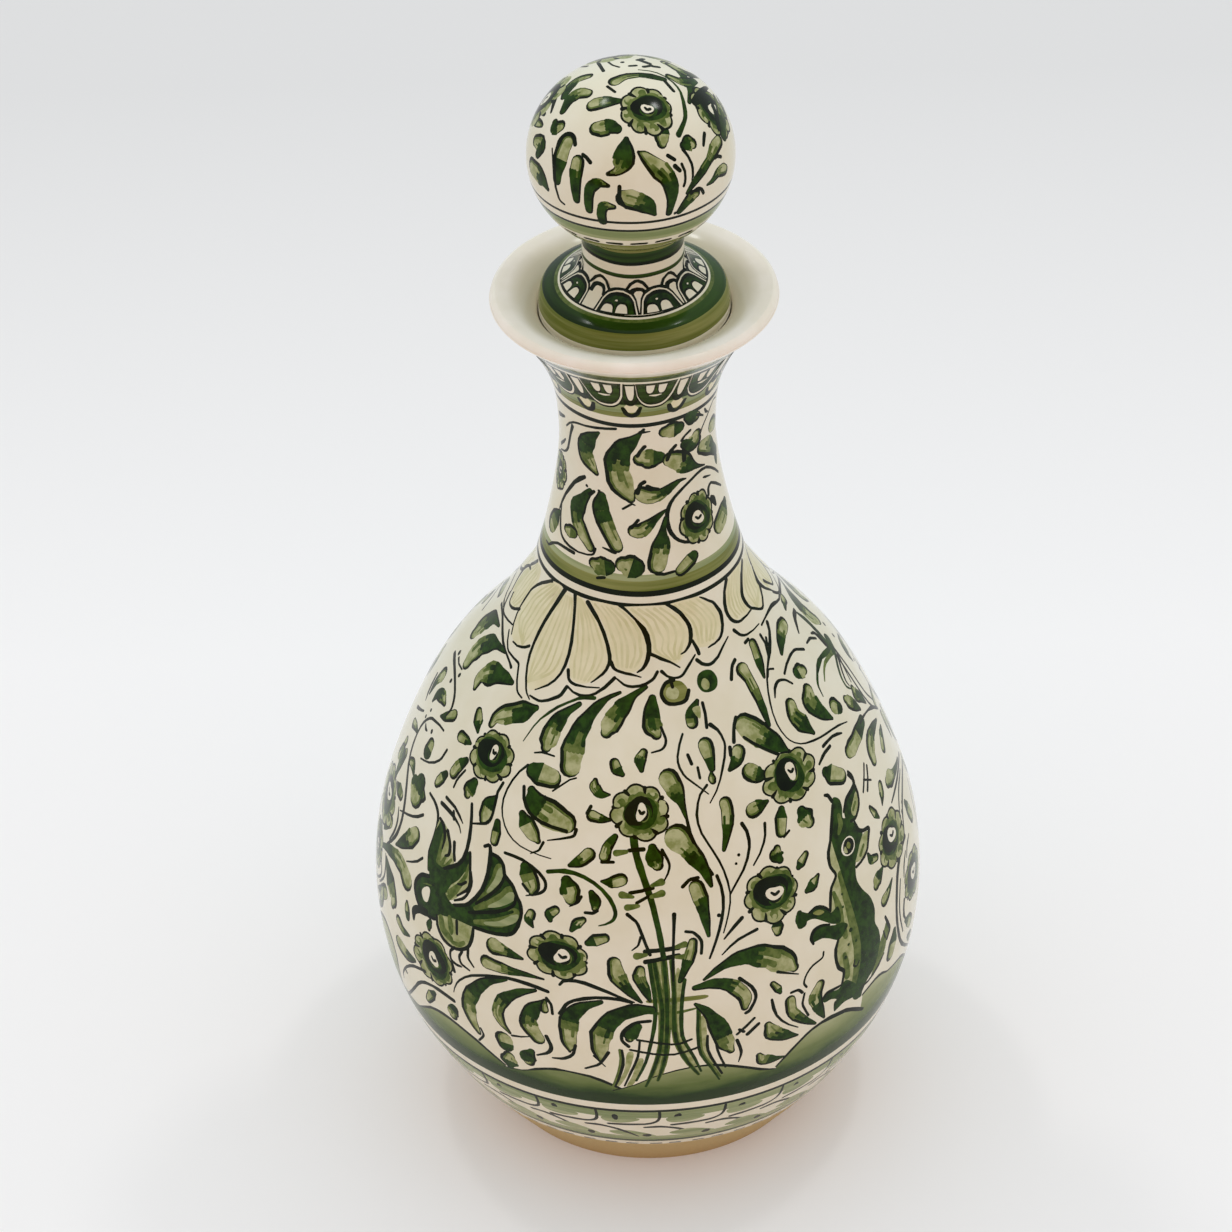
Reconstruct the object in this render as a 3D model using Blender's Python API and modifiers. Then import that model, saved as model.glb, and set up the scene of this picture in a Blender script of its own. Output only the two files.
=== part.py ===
"""Ceramic carafe: a thrown, hollow vessel with a flared mouth and a ball-topped ceramic stopper.

Lengths are in metres and +Z is up. The origin is the middle of the foot, on the surface that it stands on.
Every piece is turned about the Z axis. A profile is a list of (radius, height) points that runs down the
outer side, so the faces point out.
"""
import math

import bpy

# Vessel, outside
body_height = 0.2171
foot_radius = 0.0374
belly_radius = 0.0631
belly_height = 0.0594
collar_radius = 0.0250
collar_height = 0.1430
waist_radius = 0.01715
waist_height = 0.1835
rim_radius = 0.0310
lip_thickness = 0.0030

# Vessel, inside and underneath
wall_thickness = 0.0045
floor_thickness = 0.0060
foot_ring_width = 0.0070
foot_recess_depth = 0.0030

# Places between two of the stations above, as (share of the height, share of the change in radius)
lower_belly_shares = [(0.14, 0.245), (0.27, 0.460), (0.41, 0.650), (0.55, 0.808), (0.75, 0.946)]
upper_belly_shares = [(0.19, 0.041), (0.386, 0.167), (0.58, 0.348), (0.709, 0.524), (0.838, 0.761)]
neck_shares = [(0.15, 0.270), (0.331, 0.522), (0.597, 0.805), (0.80, 0.957)]
flare_shares = [(0.35, 0.085), (0.67, 0.386), (0.84, 0.668)]

# Stopper: flange, neck and ball
flange_radius = 0.0207
flange_sink = 0.0032
flange_edge_drop = 0.0021
flange_edge_inset = 0.0004
flange_underside_drop = 0.0040
flange_crease_radius = 0.0198
flange_crease_rise = 0.0041
flange_top_radius = 0.01665
flange_top_rise = 0.0055
cove_rise = 0.0109
stopper_neck_radius = 0.0110
ball_radius = 0.0221
ball_half_height = 0.0201
ball_centre_rise = 0.0365
ball_cavity_radius = 0.0128
vent_radius = 0.0025

# How the stopper seats in the mouth: the flange lies in the dish, the cork plugs a tapered stretch below
flange_gap = 0.0005
dish_depth = 0.0043
cork_top_depth = 0.0230
cork_length = 0.0120
cork_taper = 0.0016
cork_thickness = 0.0042
spigot_overhang = 0.0012
fit_clearance = 0.0003

# Shares of the way from the lip to the edge of the dish, from there to the cork's stretch of the bore, and
# from the stopper's neck down to the top of its flange
dish_shares = [(0.12, 0.30), (0.35, 0.57), (0.67, 0.83)]
throat_shares = [(0.10, 0.10), (0.26, 0.31), (0.47, 0.59), (0.73, 0.86)]
cove_shares = [(0.50, 0.30)]

# Where the outer side meets the lip, as shares of the lip's thickness: in from the rim, and down from the top
lip_underside_shares = (0.20, 0.90)
lip_arc_start = 90.0
lip_arc_end = -35.0

# Part of the wall's thickness that the inner wall keeps clear of the floor and of the cork's stretch, and
# part of the foot recess's depth that its side leans in by
wall_margin_share = 0.5
recess_lean_share = 0.5

# Roundness of the turned pieces, and the largest gap that still counts as the same point
body_steps = 40
stopper_steps = 32
cove_steps = 2
lip_steps = 5
ball_steps = 13
cavity_steps = 6
merge_distance = 0.00001


def between(start, end, shares):
    """Points from start to end, both included, placed by (height share, radius share)."""
    middle = [
        (start[0] + (end[0] - start[0]) * radius_share, start[1] + (end[1] - start[1]) * height_share)
        for height_share, radius_share in shares
    ]
    return [start] + middle + [end]


def smooth(points, steps):
    """A Catmull-Rom curve through the points, with the given steps between two of them."""
    first = tuple(2 * a - b for a, b in zip(points[0], points[1]))
    last = tuple(2 * a - b for a, b in zip(points[-1], points[-2]))
    padded = [first] + list(points) + [last]
    curve = [points[0]]
    for index in range(1, len(padded) - 2):
        p0, p1, p2, p3 = padded[index - 1:index + 3]
        for step in range(1, steps + 1):
            t = step / steps
            curve.append(tuple(
                0.5 * (2 * b + (c - a) * t + (2 * a - 5 * b + 4 * c - d) * t ** 2
                       + (3 * b - a - 3 * c + d) * t ** 3)
                for a, b, c, d in zip(p0, p1, p2, p3)
            ))
    return curve


def ellipse_arc(centre, half_width, half_height, start, end, steps):
    """Points on an ellipse from one angle to another, in degrees from the outward direction."""
    angles = [math.radians(start + (end - start) * step / steps) for step in range(steps + 1)]
    return [(centre[0] + half_width * math.cos(a), centre[1] + half_height * math.sin(a)) for a in angles]


def inset(points, distance):
    """The points moved inwards, square to the curve that they lie on."""
    moved = []
    for index, (radius, height) in enumerate(points):
        before = points[max(index - 1, 0)]
        after = points[min(index + 1, len(points) - 1)]
        along = (after[0] - before[0], after[1] - before[1])
        length = math.hypot(*along)
        moved.append((radius - distance * along[1] / length, height + distance * along[0] / length))
    return moved


def outer_curve():
    """The vessel's outer side, from the foot up to where the lip begins to round over."""
    foot = (foot_radius, 0.0)
    belly = (belly_radius, belly_height)
    collar = (collar_radius, collar_height)
    waist = (waist_radius, waist_height)
    lip = (rim_radius, body_height - lip_thickness / 2)
    points = between(foot, belly, lower_belly_shares)
    points += between(belly, collar, upper_belly_shares)[1:]
    points += between(collar, waist, neck_shares)[1:]
    points += between(waist, lip, flare_shares)[1:-1]
    inward_share, down_share = lip_underside_shares
    points.append((rim_radius - lip_thickness * inward_share, body_height - lip_thickness * down_share))
    return points


def bore_radius_at(depth):
    """Radius of the tapered stretch that the cork plugs, at a depth below the top of the lip."""
    narrow = waist_radius - wall_thickness
    share = (cork_top_depth + cork_length - depth) / cork_length
    return narrow + cork_taper * share


def body_profile():
    """The vessel's whole section, from the middle of the floor, up the inside and down the outside."""
    outside = outer_curve()
    floor_top = foot_recess_depth + floor_thickness
    bore_bottom = body_height - cork_top_depth - cork_length
    margin = wall_thickness * wall_margin_share
    inner_wall = [
        point for point in inset(outside, wall_thickness) if floor_top + margin < point[1] < bore_bottom - margin
    ]
    corner = (inner_wall[0][0] - wall_thickness, floor_top)
    bore_low = (bore_radius_at(cork_top_depth + cork_length), bore_bottom)
    bore_high = (bore_radius_at(cork_top_depth), body_height - cork_top_depth)
    dish_edge = (flange_radius + flange_gap, body_height - dish_depth)
    lip_centre = (rim_radius - lip_thickness / 2, body_height - lip_thickness / 2)
    lip_round = lip_thickness / 2
    lip = ellipse_arc(lip_centre, lip_round, lip_round, lip_arc_start, lip_arc_end, lip_steps)
    throat = between(dish_edge, bore_high, throat_shares)
    dish = between(lip[0], dish_edge, dish_shares)
    inside = [(0.0, floor_top), corner] + inner_wall + [bore_low]
    inside += list(reversed(throat)) + list(reversed(dish))[1:]
    foot_inner = foot_radius - foot_ring_width
    underside = [
        (foot_inner, 0.0),
        (foot_inner - foot_recess_depth * recess_lean_share, foot_recess_depth),
        (0.0, foot_recess_depth),
    ]
    return inside + lip[1:] + list(reversed(outside))[1:] + underside


def stopper_profile():
    """The stopper's section, from the top of the ball down to the spigot and back up its vent."""
    flange = body_height - flange_sink
    ball_centre = (0.0, flange + ball_centre_rise)
    cork_top = body_height - cork_top_depth
    spigot_bottom = cork_top - cork_length - spigot_overhang
    spigot_radius = spigot_radius_of_cork()
    neck_angle = -math.degrees(math.acos(stopper_neck_radius / ball_radius))
    vent_angle = -math.degrees(math.acos(vent_radius / ball_cavity_radius))
    ball = ellipse_arc(ball_centre, ball_radius, ball_half_height, 90.0, neck_angle, ball_steps)
    neck_foot = (stopper_neck_radius, flange + cove_rise)
    flange_top = (flange_top_radius, flange + flange_top_rise)
    cove = smooth(between(neck_foot, flange_top, cove_shares) + [
        (flange_crease_radius, flange + flange_crease_rise),
        (flange_radius, flange),
        (flange_radius - flange_edge_inset, flange - flange_edge_drop),
    ], cove_steps)
    underside = [
        (flange_top_radius, flange - flange_underside_drop),
        (spigot_radius, flange - flange_underside_drop),
        (spigot_radius, spigot_bottom),
        (vent_radius, spigot_bottom),
    ]
    cavity = ellipse_arc(ball_centre, ball_cavity_radius, ball_cavity_radius, vent_angle, 90.0, cavity_steps)
    return [(0.0, ball[0][1])] + ball[1:] + cove + underside + cavity[:-1] + [(0.0, cavity[-1][1])]


def spigot_radius_of_cork():
    """The spigot's radius: what the cork leaves of the bore where it is narrowest."""
    narrow = bore_radius_at(cork_top_depth + cork_length)
    return narrow - fit_clearance - cork_thickness - fit_clearance


def cork_profile():
    """The cork's section: a tapered sleeve, closed on itself."""
    top = body_height - cork_top_depth
    bottom = top - cork_length
    inner = spigot_radius_of_cork() + fit_clearance
    top_radius = bore_radius_at(cork_top_depth) - fit_clearance
    bottom_radius = bore_radius_at(cork_top_depth + cork_length) - fit_clearance
    return [(inner, top), (top_radius, top), (bottom_radius, bottom), (inner, bottom), (inner, top)]


def lowered(profile):
    """A profile given in the vessel's heights, seen from the top of the lip, where its pivot is."""
    return [(radius, height - body_height) for radius, height in profile]


def material(name, colour, roughness):
    """A plain non-metal of one colour."""
    result = bpy.data.materials.new(name)
    result.use_nodes = True
    shader = result.node_tree.nodes["Principled BSDF"]
    shader.inputs["Base Color"].default_value = (*colour, 1.0)
    shader.inputs["Roughness"].default_value = roughness
    shader.inputs["Metallic"].default_value = 0.0
    return result


def turned(name, profile, steps, finish, collection, parent):
    """A solid of revolution about Z: the profile as a chain of edges with a Screw modifier."""
    mesh = bpy.data.meshes.new(name)
    edges = [(index, index + 1) for index in range(len(profile) - 1)]
    mesh.from_pydata([(radius, 0.0, height) for radius, height in profile], edges, [])
    mesh.materials.append(finish)
    piece = bpy.data.objects.new(name, mesh)
    collection.objects.link(piece)
    piece.parent = parent
    screw = piece.modifiers.new("Turn", "SCREW")
    screw.axis = "Z"
    screw.steps = steps
    screw.render_steps = steps
    screw.use_merge_vertices = True
    screw.merge_threshold = merge_distance
    screw.use_smooth_shade = True
    return piece


def pivot(name, height, collection):
    """An empty on the vessel's axis, which carries the pieces that move together."""
    empty = bpy.data.objects.new(name, None)
    empty.location = (0.0, 0.0, height)
    collection.objects.link(empty)
    return empty


def build():
    """Model the carafe: the vessel, and the stopper with its cork, which lift out together."""
    for old in list(bpy.data.objects):
        bpy.data.objects.remove(old, do_unlink=True)
    collection = bpy.data.collections.new("ceramic_carafe")
    bpy.context.scene.collection.children.link(collection)
    glaze = material("cream_glaze", (0.66, 0.56, 0.47), 0.15)
    green_glaze = material("green_painted_glaze", (0.30, 0.34, 0.20), 0.15)
    cork = material("cork", (0.45, 0.29, 0.16), 0.85)
    turned("carafe_body", body_profile(), body_steps, glaze, collection, None)
    stopper_lift = pivot("stopper_lift", body_height, collection)
    stopper = turned("stopper", lowered(stopper_profile()), stopper_steps, green_glaze, collection, stopper_lift)
    sleeve = turned("cork_sleeve", lowered(cork_profile()), stopper_steps, cork, collection, stopper_lift)
    for piece in (stopper, sleeve):
        print(piece.name, "hangs from", stopper_lift.name)


build()
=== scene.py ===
# %% [markdown]
# A stoppered ceramic carafe, thrown in a pale clay, glazed cream and painted by hand in greens. The
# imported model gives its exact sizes; this notebook gives it its fine surface, its painting, its glaze and
# its light. Everything is in metres, +Z is up, and the viewer stands on the -Y side.

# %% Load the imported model
import math
import random

import bpy
import numpy as np
from mathutils import Matrix, Vector
from mathutils.bvhtree import BVHTree
from mathutils.geometry import delaunay_2d_cdt


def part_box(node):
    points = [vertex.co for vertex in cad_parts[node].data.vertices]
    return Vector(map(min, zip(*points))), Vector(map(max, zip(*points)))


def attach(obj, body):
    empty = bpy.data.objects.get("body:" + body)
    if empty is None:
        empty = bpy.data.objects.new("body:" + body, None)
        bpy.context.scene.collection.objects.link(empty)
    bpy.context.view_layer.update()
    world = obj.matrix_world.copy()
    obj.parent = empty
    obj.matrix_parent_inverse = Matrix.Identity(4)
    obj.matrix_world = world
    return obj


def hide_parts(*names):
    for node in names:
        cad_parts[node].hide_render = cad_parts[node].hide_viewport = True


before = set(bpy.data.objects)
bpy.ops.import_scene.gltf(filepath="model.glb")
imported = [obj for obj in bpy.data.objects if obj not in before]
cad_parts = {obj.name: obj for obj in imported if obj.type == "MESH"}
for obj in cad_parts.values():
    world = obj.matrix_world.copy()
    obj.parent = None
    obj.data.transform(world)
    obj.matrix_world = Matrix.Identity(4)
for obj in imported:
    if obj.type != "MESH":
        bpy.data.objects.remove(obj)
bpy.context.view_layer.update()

MM = 0.001
vessel_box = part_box("carafe_body")
print("vessel", [round((high - low) / MM, 1) for low, high in zip(*vessel_box)], "mm")

# %% [markdown]
# The camera comes first, because every later choice is judged through it. The picture was taken from a
# little above the stopper with a long lens, so a 150 mm lens looks down at 36 degrees from 1.2 m away. A
# camera could also be aimed with a Track To constraint; here three turns in a row, yaw, pitch and roll,
# say exactly how the photographer held it.

# %% Camera
camera_place = Vector((0.0, -0.930, 0.81179))
camera_pitch = math.radians(36.259)
camera_yaw = math.radians(0.3585)
camera_roll = math.radians(-1.5915)

camera_data = bpy.data.cameras.new("photo_camera")
camera_data.lens = 150.23
camera_data.sensor_width = 36.0
camera = bpy.data.objects.new("photo_camera", camera_data)
bpy.context.scene.collection.objects.link(camera)
camera.matrix_world = (
    Matrix.Translation(camera_place)
    @ Matrix.Rotation(camera_yaw, 4, "Z")
    @ Matrix.Rotation(math.pi / 2 - camera_pitch, 4, "X")
    @ Matrix.Rotation(camera_roll, 4, "Z")
)
bpy.context.scene.camera = camera
print("camera", round(camera_place.length, 3), "m from the foot")

# %% [markdown]
# Colours are written as they look on a screen, in sRGB hex, and one function turns them into the linear
# values that a renderer adds up. The other small functions each add a shader node with its settings and
# its links, so that a material reads as a short list of what is mixed with what.

# %% Colour and node helpers
def linear(hex_colour):
    """An sRGB hex colour as linear red, green, blue and alpha."""
    channels = [int(hex_colour[i:i + 2], 16) / 255 for i in (1, 3, 5)]
    return [c / 12.92 if c <= 0.04045 else ((c + 0.055) / 1.055) ** 2.4 for c in channels] + [1.0]


def add(tree, kind, inputs=None, **settings):
    """Add a node: settings are its own properties, inputs are values or (node, output) links."""
    node = tree.nodes.new(kind)
    for name, value in settings.items():
        setattr(node, name, value)
    for name, value in (inputs or {}).items():
        if isinstance(value, tuple) and isinstance(value[0], bpy.types.Node):
            tree.links.new(value[0].outputs[value[1]], node.inputs[name])
        else:
            node.inputs[name].default_value = value
    return node


def wire(tree, link, socket):
    """Join a (node, output) link to a socket."""
    tree.links.new(link[0].outputs[link[1]], socket)


def object_place(tree):
    """The link to a place in the object's own space, in metres."""
    return add(tree, "ShaderNodeTexCoord"), "Object"


def scaled(tree, place, scale):
    """The link to a place scaled along its three axes."""
    return add(tree, "ShaderNodeMapping", {"Vector": place, "Scale": scale}), "Vector"


def noise(tree, place, scale, detail, roughness=0.5):
    """The link to soft noise over a place."""
    inputs = {"Vector": place, "Scale": scale, "Detail": detail, "Roughness": roughness}
    return add(tree, "ShaderNodeTexNoise", inputs), "Fac"


def ramped(tree, value, low, high):
    """The link to a value that runs from 0 at low to 1 at high."""
    return add(tree, "ShaderNodeMapRange", {"Value": value, "From Min": low, "From Max": high}), "Result"


def coordinate(tree, place, axis):
    """The link to one coordinate of a place."""
    return add(tree, "ShaderNodeSeparateXYZ", {"Vector": place}), axis


def blended(tree, factor, one, other):
    """The link to a mix of two colours, each given as a hex colour or as a link."""
    sides = [linear(side) if isinstance(side, str) else side for side in (one, other)]
    return add(tree, "ShaderNodeMix", {0: factor, 6: sides[0], 7: sides[1]}, data_type="RGBA"), 2


def bumped(tree, shader, height, strength, distance):
    """Give a shader the fine relief of a height link, in metres."""
    bump = add(tree, "ShaderNodeBump", {"Height": height, "Strength": strength, "Distance": distance})
    wire(tree, (bump, "Normal"), shader.inputs["Normal"])


def fresh(name):
    """A new node material, its tree and its Principled shader."""
    material = bpy.data.materials.new(name)
    material.use_nodes = True
    return material, material.node_tree, material.node_tree.nodes["Principled BSDF"]


# %% [markdown]
# The stage is a pale floor that runs back past the picture's edge, a white world and two softboxes
# overhead. A white world alone would light the glaze evenly but leave it without the two soft patches
# that show how glossy it is. The lamps are kept at a level at which a colour renders about as it is
# written. The floor's colour is painted darker towards the back, a painted falloff of the light, and
# the floor has a faint painted glow of its own that lifts the shadows on it.

# %% Stage and light
floor_near = "#EEE8E7"
# painted shade: the floor is coloured darker towards the back, standing in for the light's falloff
floor_far_painted_shade = "#D6D1D0"
floor_shade_range = (0.16, 0.46)
# painted light: the floor glows a little though it is no lamp, lifting its shadows and lighting the pot from
# below
floor_painted_glow = 0.12
floor_painted_glow_colour = "#F9FAFB"
floor_size = 8.0
studio_white = "#EFFBFF"
room_warm = "#FF9828"
room_warm_side = (0.0, -1.0, -0.4)
room_warm_range = (0.3, 1.0)
room_low = 0.64
room_high = 1.08
softbox_aim = (0.0, 0.0, 0.2)
softbox_squat = 0.7
softboxes = [
    ("softbox_left", (-0.42, 0.34, 1.32), 0.115, 1.2),
    ("softbox_right", (0.42, 0.20, 1.32), 0.115, 1.2),
]

floor_material, tree, shader = fresh("studio_paper_painted_falloff_and_glow")
# painted shade: the floor's colour darkens from the near tone to the far one
far_shade = ramped(tree, coordinate(tree, object_place(tree), "Y"), *floor_shade_range)
wire(tree, blended(tree, far_shade, floor_near, floor_far_painted_shade), shader.inputs["Base Color"])
shader.inputs["Roughness"].default_value = 0.95
shader.inputs["Specular IOR Level"].default_value = 0.1
# the floor's painted glow
shader.inputs["Emission Color"].default_value = linear(floor_painted_glow_colour)
shader.inputs["Emission Strength"].default_value = floor_painted_glow

bpy.ops.mesh.primitive_plane_add(size=floor_size, location=(0.0, 0.0, 0.0))
floor = bpy.context.object
floor.name = "studio_floor"
floor.data.materials.append(floor_material)

world = bpy.data.worlds.new("studio")
bpy.context.scene.world = world
world.use_nodes = True
tree = world.node_tree
background = tree.nodes["Background"]
direction = add(tree, "ShaderNodeTexCoord"), "Generated"
frontness = add(tree, "ShaderNodeVectorMath", {0: direction, 1: room_warm_side}, operation="DOT_PRODUCT")
warmth = ramped(tree, (frontness, "Value"), *room_warm_range)
wire(tree, blended(tree, warmth, studio_white, room_warm), background.inputs["Color"])
height = coordinate(tree, direction, "Z")
power = add(tree, "ShaderNodeMapRange", {"Value": height, "To Min": room_low, "To Max": room_high})
wire(tree, (power, "Result"), background.inputs["Strength"])

for name, where, size, watts in softboxes:
    lamp = bpy.data.lights.new(name, "AREA")
    lamp.shape = "RECTANGLE"
    lamp.size = size
    lamp.size_y = size * softbox_squat
    lamp.energy = watts
    box = bpy.data.objects.new(name, lamp)
    bpy.context.scene.collection.objects.link(box)
    box.location = where
    box.rotation_euler = (Vector(softbox_aim) - Vector(where)).to_track_quat("-Z", "Y").to_euler()
bpy.context.scene.view_settings.view_transform = "Standard"
print("stage and", len(softboxes), "softboxes")

# %% [markdown]
# Thrown pottery is a turned form: one outline, spun about the axis. The outline is read from the packed
# solid, ring by ring, so the fine surface lies exactly where the solid is. Reading the outline keeps one
# source for every size; typing it again would let the two drift apart.

# %% Read a turned node's outline
def outline_of(node_name, start_height):
    """The (radius, height) points in mm along a turned node, from its pole nearest to start_height."""
    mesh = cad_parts[node_name].data
    on_line = {}
    for vertex in mesh.vertices:
        x, y, z = vertex.co
        if abs(y) < 1e-6 and x > -1e-6:
            on_line[vertex.index] = (round(x / MM, 3), round(z / MM, 3))
    near = {}
    for edge in mesh.edges:
        a, b = (on_line.get(index) for index in edge.vertices)
        if a and b and a != b:
            near.setdefault(a, set()).add(b)
            near.setdefault(b, set()).add(a)
    ends = [point for point in near if len(near[point]) == 1]
    chain = [min(ends, key=lambda point: abs(point[1] - start_height))]
    while True:
        ahead = [point for point in near[chain[-1]] if point not in chain]
        if not ahead:
            break
        chain.append(ahead[0])
    to_axis = [(0.0, point[1]) for point in (chain[0], chain[-1])]
    return to_axis[:1] * (chain[0][0] > 0) + chain + to_axis[1:] * (chain[-1][0] > 0)


def corners_of(points, sharpest=50.0):
    """Indices where an outline turns by more than the given degrees, with both ends."""
    found = [0]
    for i in range(1, len(points) - 1):
        before = math.atan2(points[i][1] - points[i - 1][1], points[i][0] - points[i - 1][0])
        after = math.atan2(points[i + 1][1] - points[i][1], points[i + 1][0] - points[i][0])
        turn = abs((after - before + math.pi) % (2 * math.pi) - math.pi)
        if math.degrees(turn) > sharpest:
            found.append(i)
    return found + [len(points) - 1]


def span(a, b, c, d, steps):
    """The Catmull-Rom curve from b up to c, with a and d as the neighbours that bend it."""
    t = np.arange(steps)[:, None] / steps
    return 0.5 * (2 * b + (c - a) * t + (2 * a - 5 * b + 4 * c - d) * t ** 2
                  + (3 * b - a - 3 * c + d) * t ** 3)


def rounded(points, steps):
    """A smooth open curve through points of any number of coordinates."""
    p = np.array(points, float)
    padded = np.vstack([2 * p[0] - p[1], p, 2 * p[-1] - p[-2]])
    return np.vstack([span(*padded[i - 1:i + 3], steps) for i in range(1, len(p))] + [p[-1:]])


class Profile:
    """A turned piece's outline in mm: radius, height and outward normal against the distance along it."""

    steps = 16            # places on the curve from one corner of the outline to the next
    nearest_ring = 0.02   # no two rings lie closer than this

    def __init__(self, points, widest):
        cuts = corners_of(points)
        distance, places, normals = [0.0], [], []
        self.corners = []
        for begin, end in zip(cuts, cuts[1:]):
            run = rounded(points[begin:end + 1], self.steps)
            run[:, 0] = np.clip(run[:, 0], 0.0, widest)
            tangent = np.gradient(run, axis=0)
            tangent /= np.hypot(*tangent.T)[:, None]
            along = distance[-1] + np.r_[0.0, np.cumsum(np.hypot(*np.diff(run, axis=0).T))]
            distance = (distance if places else []) + along.tolist()
            places.append(run)
            normals.append(np.stack([-tangent[:, 1], tangent[:, 0]], axis=1))
            self.corners.append(along[-1])
        self.s = np.array(distance)
        self.r, self.z = np.vstack(places).T
        self.n_r, self.n_z = np.vstack(normals).T
        self.corners = np.array(self.corners[:-1])

    def measure_from(self, zero):
        """Put the zero of the distance at this place."""
        self.s = self.s - zero
        self.corners = self.corners - zero

    def at(self, s):
        return np.interp(s, self.s, self.r), np.interp(s, self.s, self.z)

    def normal(self, s):
        n_r, n_z = np.interp(s, self.s, self.n_r), np.interp(s, self.s, self.n_z)
        length = np.hypot(n_r, n_z)
        return n_r / length, n_z / length

    def rings(self, start, end, turn=6.0, reach=5.0):
        """The distances between start and end at which a plain turned surface needs a ring."""
        inside = (self.s > start + 0.05) & (self.s < end - 0.05)
        heading = np.unwrap(np.arctan2(self.n_z, self.n_r))
        kept, last = [start], np.interp(start, self.s, heading)
        for s, angle in zip(self.s[inside], heading[inside]):
            at_corner = np.any(np.abs(self.corners - s) < 0.001)
            if at_corner or math.degrees(abs(angle - last)) > turn or s - kept[-1] > reach:
                if s - kept[-1] > self.nearest_ring:
                    kept.append(s)
                last = angle
        return kept + [end]


vessel_floor, vessel_widest = 9.0, 63.1
stopper_top, stopper_widest = 270.5, 22.1
border_top_height = 214.4
vessel_profile = Profile(outline_of("carafe_body", vessel_floor), vessel_widest)
stopper_profile = Profile(outline_of("stopper", stopper_top), stopper_widest)
lip = int(np.argmax(vessel_profile.z))
under_the_lip = slice(lip + 40, lip + 200)
border_top = np.interp(-border_top_height, -vessel_profile.z[under_the_lip], vessel_profile.s[under_the_lip])
vessel_profile.measure_from(border_top)
for name, profile in (("vessel", vessel_profile), ("stopper", stopper_profile)):
    print(name, "outline", round(profile.s[0], 1), "to", round(profile.s[-1], 1), "mm")

# %% [markdown]
# The painter draws with a full brush: a leaf is one stroke that starts thin and dark and swells to a pale
# bulb, inside a darker contour. An image laid over the surface would blur close up, so each stroke is cut
# into the surface as faces of its own, like inlay. To do that, the wall is unrolled: `across` is the
# angle in degrees from the side that faces the viewer, and `along` is the distance in millimetres down
# the wall. A stroke is a chain of four-sided faces round a smooth line, so that no bend, however tight,
# can spoil its outline.

# %% The brush
def grouped(numbers, size):
    """Numbers in groups of this size."""
    return [numbers[i:i + size] for i in range(0, len(numbers), size)]


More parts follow.
